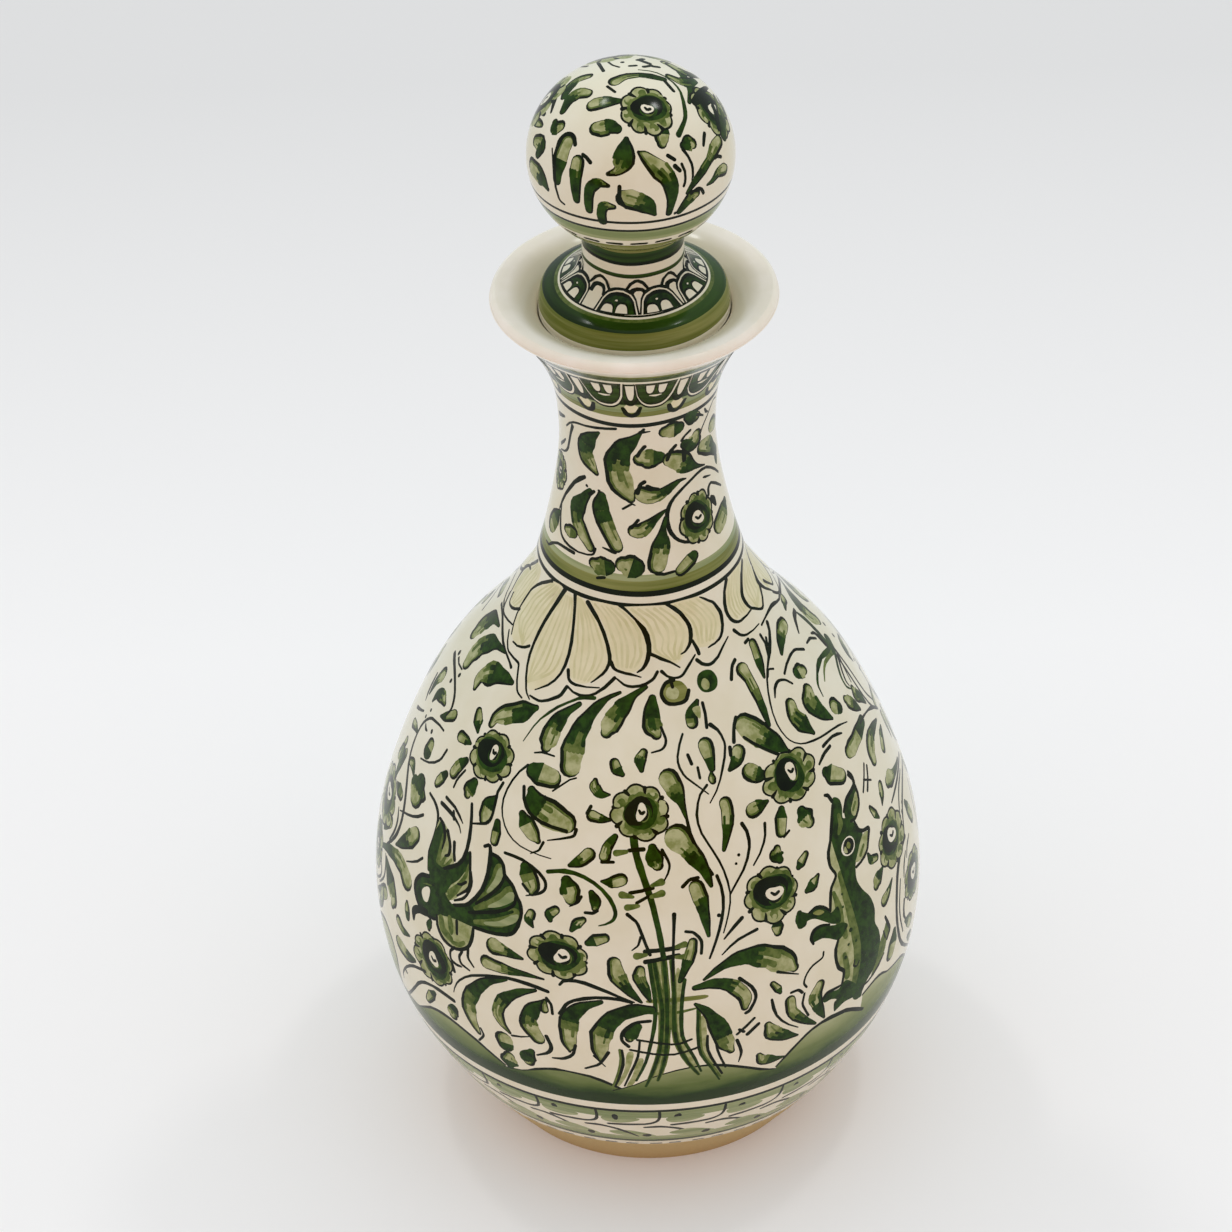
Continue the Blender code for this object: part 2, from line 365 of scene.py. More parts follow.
class Painting:
    """Strokes and washes on one turned surface, kept as flat outlines in the order in which they are laid."""

    finest = 0.05          # half width of the thinnest line, in mm
    widening = 1.13        # strokes are laid this much wider than their table says
    tremble = 0.07         # the share by which a stroke's width wavers
    track_steps = 12       # places tried from one point of a stroke to the next
    wash_steps = 4         # corners from one point of a wash to the next
    station_gap = (0.25, 2.4)    # the least and the most between two stations, in mm
    station_bend = 0.2     # a turn in radians that asks for a station
    station_swell = 0.16   # a change of half width in mm that asks for a station
    contour = 0.46         # how much of a leaf's half width its contour takes, in mm
    leaf_lean = 0.18       # the share of its half width by which a leaf's colours lie off its middle
    bristle_lanes = (-0.7, -0.35, 0.0, 0.35, 0.7)
    bristle_reach = (0.02, 0.2)
    bristle_width = 0.24
    hill_foot = 189.3      # how far down the wall the hills are filled
    pen_slots = {"line": "ink", "hill": "ink", "stalk": "dark", "brush": "mid"}
    group_sizes = {"leaf": 3, "line": 3, "stalk": 3, "brush": 3, "hill": 3, "dot": 3, "mark": 3,
                   "oval": 4, "pupil": 4}
    rosette_places = (0, 1, 4, 5, 8, 9)

    def __init__(self, profile, hub, turns):
        self.profile = profile
        self.hub = hub
        self.turns = turns
        self.from_above = False
        self.hand = random.Random(5)
        self.points = []
        self.faces = []
        self.slots = []

    def scale(self, along):
        """Millimetres to one unit across: degrees on the wall, but millimetres on the top seen from above."""
        if self.from_above:
            return np.ones_like(along)
        return np.maximum(np.radians(self.profile.at(along)[0]), 0.02)

    def place(self, across, along):
        """Unrolled places as points of the plane in which the faces are cut: rings round a hub."""
        if self.from_above:
            return np.stack([across, -along], axis=-1)
        angle = np.radians(across)
        return np.stack([(self.hub + along) * np.sin(angle), -(self.hub + along) * np.cos(angle)], axis=-1)

    def outline(self, slot, across, along):
        """One closed shape with its corners in order."""
        plane = self.place(np.asarray(across, float), np.asarray(along, float))
        x, y = plane.T
        if x @ np.roll(y, -1) < y @ np.roll(x, -1):
            plane = plane[::-1]
        first = len(self.points)
        self.points.extend(plane.tolist())
        self.faces.append(list(range(first, len(self.points))))
        self.slots.append(slot)

    def quad(self, slot, corners):
        """Four corners as one face, or as two where they cross over."""
        a, b, c, d = (self.points[i] for i in corners)
        one = (b[0] - a[0]) * (c[1] - a[1]) - (b[1] - a[1]) * (c[0] - a[0])
        two = (c[0] - a[0]) * (d[1] - a[1]) - (c[1] - a[1]) * (d[0] - a[0])
        if one * two > 0:
            parts = [(one, corners)]
        else:
            parts = [(one, corners[:3]), (two, [corners[0], corners[2], corners[3]])]
        for area, part in parts:
            if abs(area) > 1e-6:
                self.faces.append(part if area > 0 else part[::-1])
                self.slots.append(slot)

    def track(self, points):
        """Stations of (across, along, half width) on a smooth line, no closer than its bends ask for."""
        fine = rounded(points, self.track_steps)
        step_across = np.diff(fine[:, 0]) * self.scale(fine[:-1, 1])
        step_along = np.diff(fine[:, 1])
        heading = np.unwrap(np.arctan2(step_along, step_across))
        travelled = np.r_[0.0, np.cumsum(np.hypot(step_across, step_along))]
        least, most = self.station_gap
        kept = [0]
        for i in range(1, len(fine) - 1):
            gone = travelled[i] - travelled[kept[-1]]
            bent = abs(heading[i] - heading[kept[-1]]) > self.station_bend
            swollen = abs(fine[i, 2] - fine[kept[-1], 2]) > self.station_swell
            if gone > most or (gone > least and (bent or swollen)):
                kept.append(i)
        kept.append(len(fine) - 1)
        stations = fine[kept]
        waver = 1.0 + self.tremble * np.sin(1.1 * travelled[kept] + self.hand.uniform(0.0, 6.3))
        stations[:, 2] = self.finest + self.widening * stations[:, 2] * waver
        return stations, travelled[kept] / max(travelled[-1], 1e-6)

    def sweep(self, slot, stations, thinner=0.0, round_end=True):
        """The faces of one stroke, with round ends or a square far one."""
        stations = stations[stations[:, 2] - thinner > self.finest] if thinner else stations
        if len(stations) < 2:
            return
        across, along, half = stations.T
        half = np.maximum(half - thinner, self.finest)
        scale = self.scale(along)
        run_across = np.gradient(across) * scale
        run_along = np.gradient(along)
        length = np.hypot(run_across, run_along) + 1e-9
        run_across, run_along = run_across / length, run_along / length
        side_across, side_along = -run_along * half / scale, run_across * half
        first, count = len(self.points), len(across)
        self.points.extend(self.place(across + side_across, along + side_along).tolist())
        self.points.extend(self.place(across - side_across, along - side_along).tolist())
        for i in range(first, first + count - 1):
            self.quad(slot, [i, i + count, i + count + 1, i + 1])
        for end, way in ((0, -1.0), (-1, 1.0)):
            if half[end] > 0.12 and (round_end or end == 0):
                fan = np.radians(np.linspace(-90, 90, 7 if half[end] > 0.5 else 5))
                out_across = way * (run_across[end] * np.cos(fan) - run_along[end] * np.sin(fan))
                out_along = way * (run_across[end] * np.sin(fan) + run_along[end] * np.cos(fan))
                self.outline(slot, across[end] + out_across * half[end] / scale[end],
                             along[end] + out_along * half[end])

    def draw(self, slot, points):
        """One stroke through points of (across, along, half width)."""
        self.sweep(slot, self.track(points)[0])

    def beside(self, stations, share):
        """The same stations moved sideways by this share of their half width."""
        across, along, half = stations.T
        scale = self.scale(along)
        run_across, run_along = np.gradient(across) * scale, np.gradient(along)
        length = np.hypot(run_across, run_along) + 1e-9
        return np.stack([across - run_along / length * half * share / scale,
                         along + run_across / length * half * share, half], axis=1)

    def leaf(self, split, points):
        """A leaf from its dark tail to its pale bulb; the dark part ends at this share of its length."""
        stations, share = self.track(points)
        lean = self.hand.choice((-self.leaf_lean, self.leaf_lean))
        inner = self.beside(stations, lean)
        self.sweep("ink", stations)
        self.sweep("mid", inner, self.contour)
        self.sweep("light", self.beside(stations, 1.6 * lean), self.contour + 0.25)
        for lane in (-0.45, 0.35):
            streak = self.beside(stations, lane)[(share > split) & (share < self.hand.uniform(0.7, 0.98))]
            streak[:, 2] = 0.1 * streak[:, 2]
            if len(streak) > 1 and self.hand.random() < 0.7:
                self.sweep("mid", streak)
        self.bristles("mid", inner, share, split + 0.1, self.contour)
        self.bristles("dark", inner, share, split - 0.04, 0.25)

    def bristles(self, slot, stations, share, split, thinner):
        """The first part of a stroke, which ends in ragged bristle marks."""
        solid = stations[share <= split]
        self.sweep(slot, solid, thinner, False)
        for lane in self.bristle_lanes:
            reach = split + self.hand.uniform(*self.bristle_reach)
            mark = self.beside(stations, lane)[(share > split - 0.14) & (share <= reach)]
            mark[:, 2] = np.maximum(self.bristle_width * (mark[:, 2] - thinner), 0.0)
            self.sweep(slot, mark[mark[:, 2] > 0.1])

    def wash(self, slot, pairs):
        """A closed wash with a soft outline."""
        p = np.array(pairs, float)
        neighbours = zip(np.roll(p, 1, 0), p, np.roll(p, -1, 0), np.roll(p, -2, 0))
        self.outline(slot, *np.vstack([span(*four, self.wash_steps) for four in neighbours]).T)

    def petal(self, pairs):
        """A pale wash, drawn out in streaks that follow its two sides."""
        self.wash("petal", pairs)
        p = np.array(pairs, float)
        before = np.roll(p, 1, 0)
        streaks = [[] for _ in range(5)]
        for s in np.linspace(p[:, 1].min() + 0.4, p[:, 1].max() - 1.0, 6):
            crossed = (before[:, 1] - s) * (p[:, 1] - s) < 0
            a, b = before[crossed], p[crossed]
            edge = a[:, 0] + (s - a[:, 1]) / (b[:, 1] - a[:, 1]) * (b[:, 0] - a[:, 0])
            for i, streak in enumerate(streaks):
                share = (i + 1) / 6 + self.hand.uniform(-0.03, 0.03)
                width = self.hand.uniform(0.1, 0.3)
                streak.append((edge.min() + share * (edge.max() - edge.min()), s, width))
        for streak in streaks:
            self.draw("straw", streak)

    def oval(self, slot, across, along, half_across, half_along, rough=0.04, petals=0, depth=0.0, phase=None):
        """A hand-drawn oval in mm, or with petals a scalloped one."""
        angle = np.linspace(0, 2 * math.pi, 56 if petals else 18, endpoint=False)
        phase = self.hand.uniform(0.0, 6.3) if phase is None else phase
        reach = 1 + rough * np.sin(2 * angle + phase) + 0.6 * rough * np.sin(3 * angle + 2 * phase)
        reach += depth * (np.abs(np.sin(petals * angle / 2 + phase)) - 0.6)
        scale = self.scale(np.array([along]))[0]
        self.outline(slot, across + half_across * reach * np.cos(angle) / scale,
                     along + half_along * reach * np.sin(angle))

    def rosette(self, outer, centre, hole, petals=8):
        """A flower head: scalloped petals round a dark centre with an open eye. Each part is four limits."""
        sizes = []
        for left, right, top, bottom in (outer, centre, hole):
            middle = (top + bottom) / 2
            scale = self.scale(np.array([middle]))[0]
            sizes.append(((left + right) / 2, middle, (right - left) / 2 * scale, (bottom - top) / 2))
        a, s, wide, high = sizes[0]
        phase = self.hand.uniform(0.0, 6.3)
        self.oval("ink", a, s, wide + 0.1, high + 0.1, 0.04, petals, 0.14, phase)
        self.oval("light", a, s, wide - 0.42, high - 0.42, 0.04, petals, 0.16, phase)
        scale = self.scale(np.array([s]))[0]
        for i in range(petals):
            turn = 2 * (math.pi * i - phase) / petals
            shape = [(r * wide * math.cos(turn + d) / scale + a, r * high * math.sin(turn + d) + s, w)
                     for r, d, w in ((0.93, 0.0, 0.4), (0.8, 0.03, 0.3), (0.68, 0.1, 0.12))]
            self.draw("ink", shape)
            turn += math.pi / petals
            for slot, r, size in (("mid", 0.74, 0.17), ("light", 0.84, 0.1)):
                turn += self.hand.uniform(-0.15, 0.15)
                if self.hand.random() < 0.75:
                    self.oval(slot, a + r * wide * math.cos(turn) / scale, s + r * high * math.sin(turn),
                              size * wide, size * high, 0.15)
        c_a, c_s, c_wide, c_high = sizes[1]
        self.oval("mid", c_a, c_s, c_wide + 0.6, c_high + 0.6, 0.06, petals + 3, 0.12)
        self.oval("dark", c_a, c_s, c_wide, c_high, 0.07)
        self.oval("ink", c_a - 0.12 * c_wide / scale, c_s - 0.1 * c_high, 0.86 * c_wide, 0.86 * c_high, 0.09)
        h_a, h_s, h_wide, h_high = sizes[2]
        self.oval("dark", h_a + 0.4 / scale, h_s + 0.4, h_wide + 0.6, h_high + 0.6, 0.1)
        self.oval("mid", h_a + 0.5 / scale, h_s + 0.5, h_wide, h_high, 0.1)
        self.oval("ink", h_a, h_s, h_wide + 0.3, h_high + 0.3, 0.08)
        self.oval("cream", h_a, h_s, h_wide, h_high, 0.16)
        self.draw("ink", [(h_a - 0.4 * h_wide / scale, h_s - 0.2 * h_high, 0.2),
                          (h_a, h_s + 0.2 * h_high, 0.3), (h_a + 0.5 * h_wide / scale, h_s, 0.3)])

    def mark(self, word, numbers):
        """One entry of a table."""
        if word == "leaf":
            self.leaf(numbers[0], grouped(numbers[1:], 3))
        elif word in self.pen_slots:
            triples = grouped(numbers, 3)
            if word == "hill":
                foot = [(a, self.hill_foot) for a in np.linspace(triples[-1][0], triples[0][0], 14)]
                curve = [(a, s) for a, s, _ in rounded(triples, 4)]
                self.outline("hill", *np.array(curve + foot).T)
            self.draw(self.pen_slots[word], triples)
        elif word == "pen":
            self.draw("ink", [(a, s, numbers[0]) for a, s in grouped(numbers[1:], 2)])
        elif word in ("oval", "pupil"):
            self.oval("cream" if word == "oval" else "ink", *numbers)
        elif word in ("dot", "mark"):
            for a, s, r in grouped(numbers, 3):
                self.oval("dark" if word == "mark" else "ink", a, s, r, r)
        elif word == "petal":
            self.petal(grouped(numbers, 2))
        elif word == "rosette":
            self.rosette(*grouped(numbers, 4))
        else:
            self.wash(word, grouped(numbers, 2))

    def paint(self, table, turns=None):
        """A table of entries, each a word and its numbers, laid once for every turn round the piece."""
        entries = []
        for token in table.split():
            if token.isalpha():
                entries.append((token, []))
            else:
                entries[-1][1].append(float(token))
        for turn in turns or self.turns:
            for word, numbers in entries:
                moved = list(numbers)
                skip = 1 if word in ("leaf", "pen") else 0
                places = range(skip, len(moved), self.group_sizes.get(word, 2))
                if word == "rosette":
                    places = self.rosette_places
                if self.from_above and turn:
                    for i in range(12) if word == "rosette" else [i + j for i in places for j in (0, 1)]:
                        moved[i] = -moved[i]
                elif turn:
                    for i in places:
                        moved[i] += turn
                self.mark(word, moved)
        print(len(entries), "entries,", len(self.faces), "faces so far")


front_and_back = (0.0, 180.0)
vessel_hub = 60.0
arch_square = 2.6
body = Painting(vessel_profile, vessel_hub, front_and_back)
head = Painting(stopper_profile, 0.0, front_and_back)


def arch(painting, slot, middle, half, open_end, tip):
    """A round-ended arch from open_end to its tip; half is its half width in degrees."""
    t = np.linspace(-1.0, 1.0, 19)
    depth = (1.0 - np.abs(t) ** arch_square) ** (1.0 / arch_square)
    back = np.linspace(0.9, -0.9, 10)
    painting.outline(slot, middle + half * np.r_[t, back],
                     np.r_[open_end + (tip - open_end) * depth, np.full(len(back), open_end)])


# %% [markdown]
# The borders repeat round the whole pot: arches under the lip, loops over the foot, and broken lines. A
# potter divides the ring by eye while the wheel turns, so every repeat below is a little off its place.

# %% Borders of the vessel
hand = random.Random(3)
lip_arches, foot_scrolls, foot_dashes = 12, 25, 60
for i in range(lip_arches):
    c = 11.0 + 360.0 / lip_arches * i + hand.uniform(-0.7, 0.7)
    body.oval("petal", c + 15.0, 19.2, 1.5, 1.6)
    body.draw("ink", [(c + 11.3, 16.0, 0.3), (c + 13.0, 17.3, 0.4), (c + 15.0, 17.8, 0.4),
                      (c + 17.0, 17.2, 0.4), (c + 18.7, 16.0, 0.3)])
    arch(body, "ink", c, 12.4, 8.4, 19.3 + hand.uniform(-0.2, 0.2))
    arch(body, "cream", c, 11.7, 8.4, 18.7)
    arch(body, "ink", c - 0.3, 11.0, 8.4, 18.1)
    arch(body, "deep", c - 0.3, 10.2, 8.9, 17.6)
    for shift, low in ((-3.3, 13.4), (3.3, 13.6)):
        arch(body, "ink", c + shift, 3.0, 9.1, low + 0.6)
        arch(body, "cream", c + shift, 2.25, 9.8, low)
    body.draw("cream", [(c - 3.2, 14.3, 0.1), (c, 14.5, 0.28), (c + 3.2, 14.3, 0.1)])
    arch(body, "ink", c + 15.0, 3.1, 8.8, 16.9)
    arch(body, "cream", c + 15.0, 2.3, 9.7, 16.1)
    loop = [(9.8, 19.2, 0.4), (11.5, 21.0, 0.5), (15.0, 21.8, 0.5), (18.6, 21.1, 0.5), (20.8, 18.9, 0.35)]
    body.draw("ink", [(c + a, s, w) for a, s, w in loop])
for i in range(foot_scrolls):
    c = 1.5 + 360.0 / foot_scrolls * i + hand.uniform(-0.6, 0.6)
    d = hand.uniform(-0.3, 0.3)
    body.wash("pale", [(c - 13.0, 200.3), (c - 5.5, 200.4), (c - 5.0, 202.0 + d), (c - 9.0, 203.6),
                       (c - 12.8, 203.0)])
    body.wash("pale", [(c - 12.5, 210.0 + d), (c - 9.0, 208.4), (c - 5.5, 209.0), (c - 0.5, 212.4),
                       (c - 5.0, 212.9), (c - 11.0, 211.6)])
    scroll = [(0, 197.3, 0.25), (0, 200.5, 0.3), (-0.8, 202.8, 0.35), (-3, 204.2, 0.45), (-6.5, 204.6, 0.5),
              (-12, 205, 0.5)]
    body.draw("ink", [(c + a, s + d, w) for a, s, w in scroll])
    fall = [(-3.5, 206.5, 0.4), (0, 206.1, 0.5), (3.5, 207.3, 0.45), (6.5, 209.6, 0.4), (9, 212.3, 0.15)]
    body.draw("ink", [(c + a, s + d, w) for a, s, w in fall])
    body.oval("ink", c + 4.2, 200.1 + d, 0.8, 1.5, 0.1)
    body.oval("ink", c - 3.1, 212.0 + d, 0.95, 1.1, 0.1)
for i in range(foot_dashes):
    c = 360.0 / foot_dashes * i + hand.uniform(-0.5, 0.5)
    body.draw("ink", [(c - 1.3, 218.6, 0.3), (c + 1.3, 218.6, 0.3)])
print("borders:", len(body.faces), "faces")

# %% [markdown]
# The neck carries loose leaves, two flower heads and long hair lines. The numbers below were read off: a
# `line` is (across, along, half width) for each point, a `pen` is one half width and then points, and a
# `leaf` is the share of its length that is dark and then its points from the tail to the bulb. Each motif
# is laid twice, in front and behind, because the side that can't be seen is taken to repeat the side
# that can.

# %% Neck
body.paint("""
line -62.5 31.3 .15 -58 29.8 .2 -50 28.3 .22 -40 27.7 .25 -28 27 .3 -15.5 26.2 .35
line -76 40 .15 -68 39 .2 -63 37.5 .3 -60 35 .3 -56.5 32 .3 -53.5 29.8 .4
line -76 30.5 .5 -70 29.8 .5 -64 29 .3
line -76 38.5 .35 -72 37.5 .35 -66 35.5 .2
line -42.5 41.6 .4 -47 42.5 .4 -54 45 .35 -60 48 .3 -64 51 .3 -66 53.3 .2
line -64.5 51.5 .2 -63 55 .25 -60 58 .3 -55 59.4 .3 -47 60 .25 -38 60 .15 -31 59.3 .2 -29.5 57.8 .3
line -76 64 .15 -71 63.8 .25 -66 62.2 .3 -60 61.2 .3 -52 60.9 .3 -45 60.8 .4
line 76 47 .25 70 45 .25 63 43.2 .25 56 42 .3 48 42 .3 40 42.8 .3 32 44 .3 25 45.5 .35 20.5 47.5 .4
     18.8 50 .45
     20 53 .4 24 55.3 .35 29 56.6 .3 34 57.3 .25
line 53 44 .15 57.5 44.4 .35 62 45 .1
line 55 26.2 .2 57 27.3 .3 60 28 .15
line 56 49 .35 57 47.5 .35 61 46.8 .3 67 48 .3 76 50.5 .2
line 58.5 50 .4 60.5 51 .8 62 52.5 .4
pen .2 75 27 68 26.5 60 29 54 31 51 33
dark 72 42 76 41.2 79 43 76 44.8 73 44
leaf .55 -28.5 28.3 .3 -36.5 30.6 1.5 -42 33.4 1.95 -41.5 36 1.9 -36.5 38 1.4 -32 39.5 .6
leaf .5 2.5 27 .3 -4 29.3 1.3 -11.5 31.5 2 -16.5 35.5 2.4 -14.5 40 2.5 -9 43 1.9 -6 44.5 .9
line -11.5 47 .2 -8 46.2 .3 -5 45.7 .2 -3 46 .1
line 2 27 .4 5 27 .25 8.5 26.9 .15
line 2.5 27 .3 4.3 26.2 .3
leaf .5 -37 44.5 .6 -41.5 46.7 1.2 -46.5 49.8 1.9 -45.5 52.8 1.7 -39.5 55.3 1.5 -33 57.8 1
dot -40 43.5 .4
line -33.5 44.2 .3 -37 45.3 .4
leaf .48 -27.5 44.8 1 -28 48 1.9 -24 51.2 1.7 -18.5 54.3 1.6 -15.5 56.2 1.3
line -24.3 57 .15 -20 57.5 .25 -16 57.7 .3
dot -29.5 43.7 .4
leaf .4 -48 56.2 1.2 -52 56.3 1.4 -54 56.3 1
leaf .5 -20.5 61.3 1.7 -24.5 61.4 2 -29.5 61.2 1.2
line -22 64 .3 -26.5 64.5 .25
leaf .45 -4 60.8 2.1 -7 60.4 2.3 -10.5 60.2 1.7
leaf .55 18 47.9 .25 12 49.2 .7 5 51 1.2 0 52.2 1.5 -3.5 52.1 1.5
pen .3 -1 49.6 -3 50.3 -5.5 51.5
leaf .5 29.5 27.6 1.6 25 27.5 2 20 27.6 1.4
leaf .95 38 25.5 1.3 42 26.5 1.8 45.5 26.8 1.2
line 47 26.5 .4 50 27 .3 54 27.9 .15
leaf .5 14.5 34.5 1.6 10 34.6 2.3 5.5 34.4 2.1 2 34.4 1.5
line 4.8 31 .4 2 32 .35 -.5 33.5 .35
leaf .5 56 41.3 .15 48 40.3 .5 40 38.8 1.6 33 37 2.2 27.5 35.8 2.2 24.5 35.4 1.8
pen .5 35.5 34 35.5 37
pen .4 28 32.3 24 33.5 21.5 35.5
leaf .5 36 32.8 1.1 41 34 1.6 45.5 33.2 2 47.5 32 1.3
line 40.5 29.8 .35 36 30.5 .3 33.3 31.5 .35
leaf .55 36 41.8 .15 30 41.7 .5 22 42.8 .9 14 43.9 1.4 7 43.9 1.6 2.5 43.2 1.7
pen .4 4 40.3 1 41 -1 43
pen .35 6 41.4 9 42 14 42.5
leaf .58 18 49.8 .45 16 51.5 .5 13.5 55.5 1.6 10.8 59 2.1 9.8 60.6 1.8
line 9.5 62.6 .35 14 63 .3 20.3 62.8 .25
leaf .2 76 54.8 1 68 56.3 2.4 61 57.3 2
leaf .5 34.3 60.7 1.2 30 61.8 1.5 24.5 63 1.3
leaf .55 77 41.5 1 68 39 1.6 60 37 2 54.5 36.4 1.8
leaf .3 76 34 1.5 70 33 1.8
leaf .95 -65.5 54 .4 -70 56.5 2 -73 58.5 2
rosette 28 57 46.1 58.5 31.5 53.5 48.2 56.2 37.5 47.5 50.8 53.8
rosette -85 -63 40.2 49.8 -79 -69 42.5 47.5 -76 -72 44 46
""")

# %% [markdown]
# Under the collar rings hangs a ruff of thinly washed petals, each with a dark contour that is strongest
# on its outer edge, and a second, lighter scallop under them.

# %% Collar petals
body.paint("""
petal -58 70.3 -66 73 -73 77 -74 82 -70 87 -63 88 -56 86 -54 80 -53 76 -48 70.3
petal -39 70.3 -30.5 71 -22 75.5 -16 81 -17 85 -22 88 -28 88.8 -32 87 -34 82 -37 75
petal -30 70.3 -22 74 -16 79 -15 83 -10 84.6 -3 84.5 2 81 2.5 77 -2 73 -11 70.3
petal -11 70.3 -2 73 3 77 2.5 81 8 82 15 83.5 21 80.5 24 77 22.5 74 14 70.3
petal 14 70.3 22 73.5 25 77 23.5 80 28 81.5 35 81.3 41 79 43 76.5 40 73 33 70.3
petal 54.5 70.3 50 74 48.5 77 50 79.3 56 80.2 63 80 62 78 64 75 70 72 74 70.3
petal 76 71.2 69 74 64 76.5 64 79 70 82.2 76 81.2 82 79 86 75 92 73 92 71.2
petal -48 71 -52 76 -53.5 82 -52 89 -47 94 -42 93 -36 88 -35 82 -37 76 -40 71
petal -74 82.3 -80 84.2 -86 84.6 -92 81.5 -92 76 -86 73.2 -80 70.8 -72 71 -73 77
petal 84.5 78.5 88 76.2 92 75.6 92 82 88 83.2 85.5 81.5
line -80 70.6 .35 -86 72.8 .35 -92 75.3 .35
line -74 82.3 .35 -80 84.2 .25 -85.5 84.7 .2 -88.5 83.2 .3 -92 80.8 .4
line -72 86 .15 -80 87 .2 -85 87.3 .2 -88.5 86.5 .3 -92 84.4 .4
line 92 75.3 .25 87 76 .3 84 77.3 .4 81.8 79 .7 84 81.5 .35 88 83.9 .2
line -58 70.3 .3 -64 72 .35 -70 74 .3 -74.2 76.5 .3 -75 79 .3 -74.8 82 .25 -72.5 85 .2 -69 87.5 .15
line -65.5 88.3 .15 -62 88.2 .2 -58 87.3 .25 -55.5 86.2 .3
line -46.5 70 .45 -50 73 .45 -52.5 76.5 .4 -53.8 80 .4 -54 84 .35 -53 88 .3 -50.5 91.5 .25 -47 94.8
     .2 -44 96.2 .1
line -39.3 70 .4 -38 74 .3 -36 78 .3 -34.5 82 .35 -34.5 86 .3 -36 89 .25 -39 91.5 .2 -43.5 93.7 .1
line -30.5 70.8 .5 -27 72.5 .45 -22 75 .35 -17.5 78.5 .35 -15 82 .35 -15.8 84.5 .3 -18.5 86.5 .2
     -21.5 88 .1
line -32.5 86.7 .35 -31 88.6 .3 -28 89.3 .25 -23 89.2 .15 -17.8 88.8 .1
line -12.5 70 .2 -8 71 .35 -3 73 .4 1.5 76 .5 3 79 .5 2.2 81.8 .4 0 83.8 .3 -2.5 84.7 .15
line -14.3 82.9 .4 -12.5 84.2 .3 -9 84.9 .25 -4 85.3 .2 -1 85.8 .1
line 13.5 70 .25 17 71 .35 21 72.8 .35 24 75.3 .4 24.5 77.3 .4 23 79.6 .35 20 81.2 .2 17.5 81.7 .1
line 33.5 70.5 .1 38 72 .2 41.5 73.2 .3 43.3 75 .35 43.8 76.5 .4 42 79 .35 39 80.8 .25 35.5 81.6 .2
     31 82 .12
line 54.5 70.3 .45 51 72.5 .4 48.5 75 .4 47.5 77 .4 48.5 79 .4 51.5 80.2 .25 56 80.5 .2 63 80.3 .15
line 76 70.9 .55 70 73 .5 65 75 .5 62.3 77 .5 63 79.5 .35 66.5 81.2 .25 71 82.5 .25 76 81.4 .3 81.5
     79.3 .4
line -11.2 86.3 .15 -8 87.5 .2 -4.5 87.9 .25 0 87.5 .3 4 86.3 .25 6 84.8 .3
line -30.8 90.2 .2 -28 91 .2 -24 91.3 .3 -20 90.6 .25 -15.5 88.5 .3 -12 86.2 .35
stalk -19 91.2 .35 -25 92 .3 -30 94 .3 -34 96.5 .25 -37.5 100 .15 -39.5 105 .08
line -31 90.3 .35 -32.5 92.5 .35 -36 94.3 .3 -40 95.5 .25 -44.5 95.4 .15
line -72 87.5 .2 -69 89.2 .2 -65 90.6 .2 -60 90.8 .2 -56.2 91 .25 -54 93.2 .2 -50.5 96 .2 -47.2 96.8 .15
line -92 88 .3 -84 87.8 .3 -78 88.7 .35 -72 90.2 .35 -67 91.2 .3 -62 91.8 .3 -58.7 92.8 .35
line 3.5 80.8 .35 8 82 .3 12 83 .2 15.8 84.5 .12
line 7.8 84.8 .35 10 86 .2 13 86.6 .2 16 86.4 .25 19 85 .25 21.5 83.6 .2 23.8 82.6 .15
line 24.2 79.4 .25 25.3 81 .4 25.7 82.6 .35
line 24 83.8 .35 26 85 .35 29.5 85.6 .3 34 84.7 .25 38.5 82.9 .2 42.5 81.7 .1
line 47 81.2 .4 49 82.8 .3 52 83.7 .2 57 84 .15 62.5 84 .1
line 63.5 84.7 .2 68 84.4 .2 76 84.4 .3 80 84.8 .25 84 86 .25 88 86.9 .25 92 87.1 .2
""")

# %% [markdown]
# The belly is the main picture: a garden in which a bird and a hare stand among big flowers, over a row
# of hills. The hills come first, since everything else grows over them.

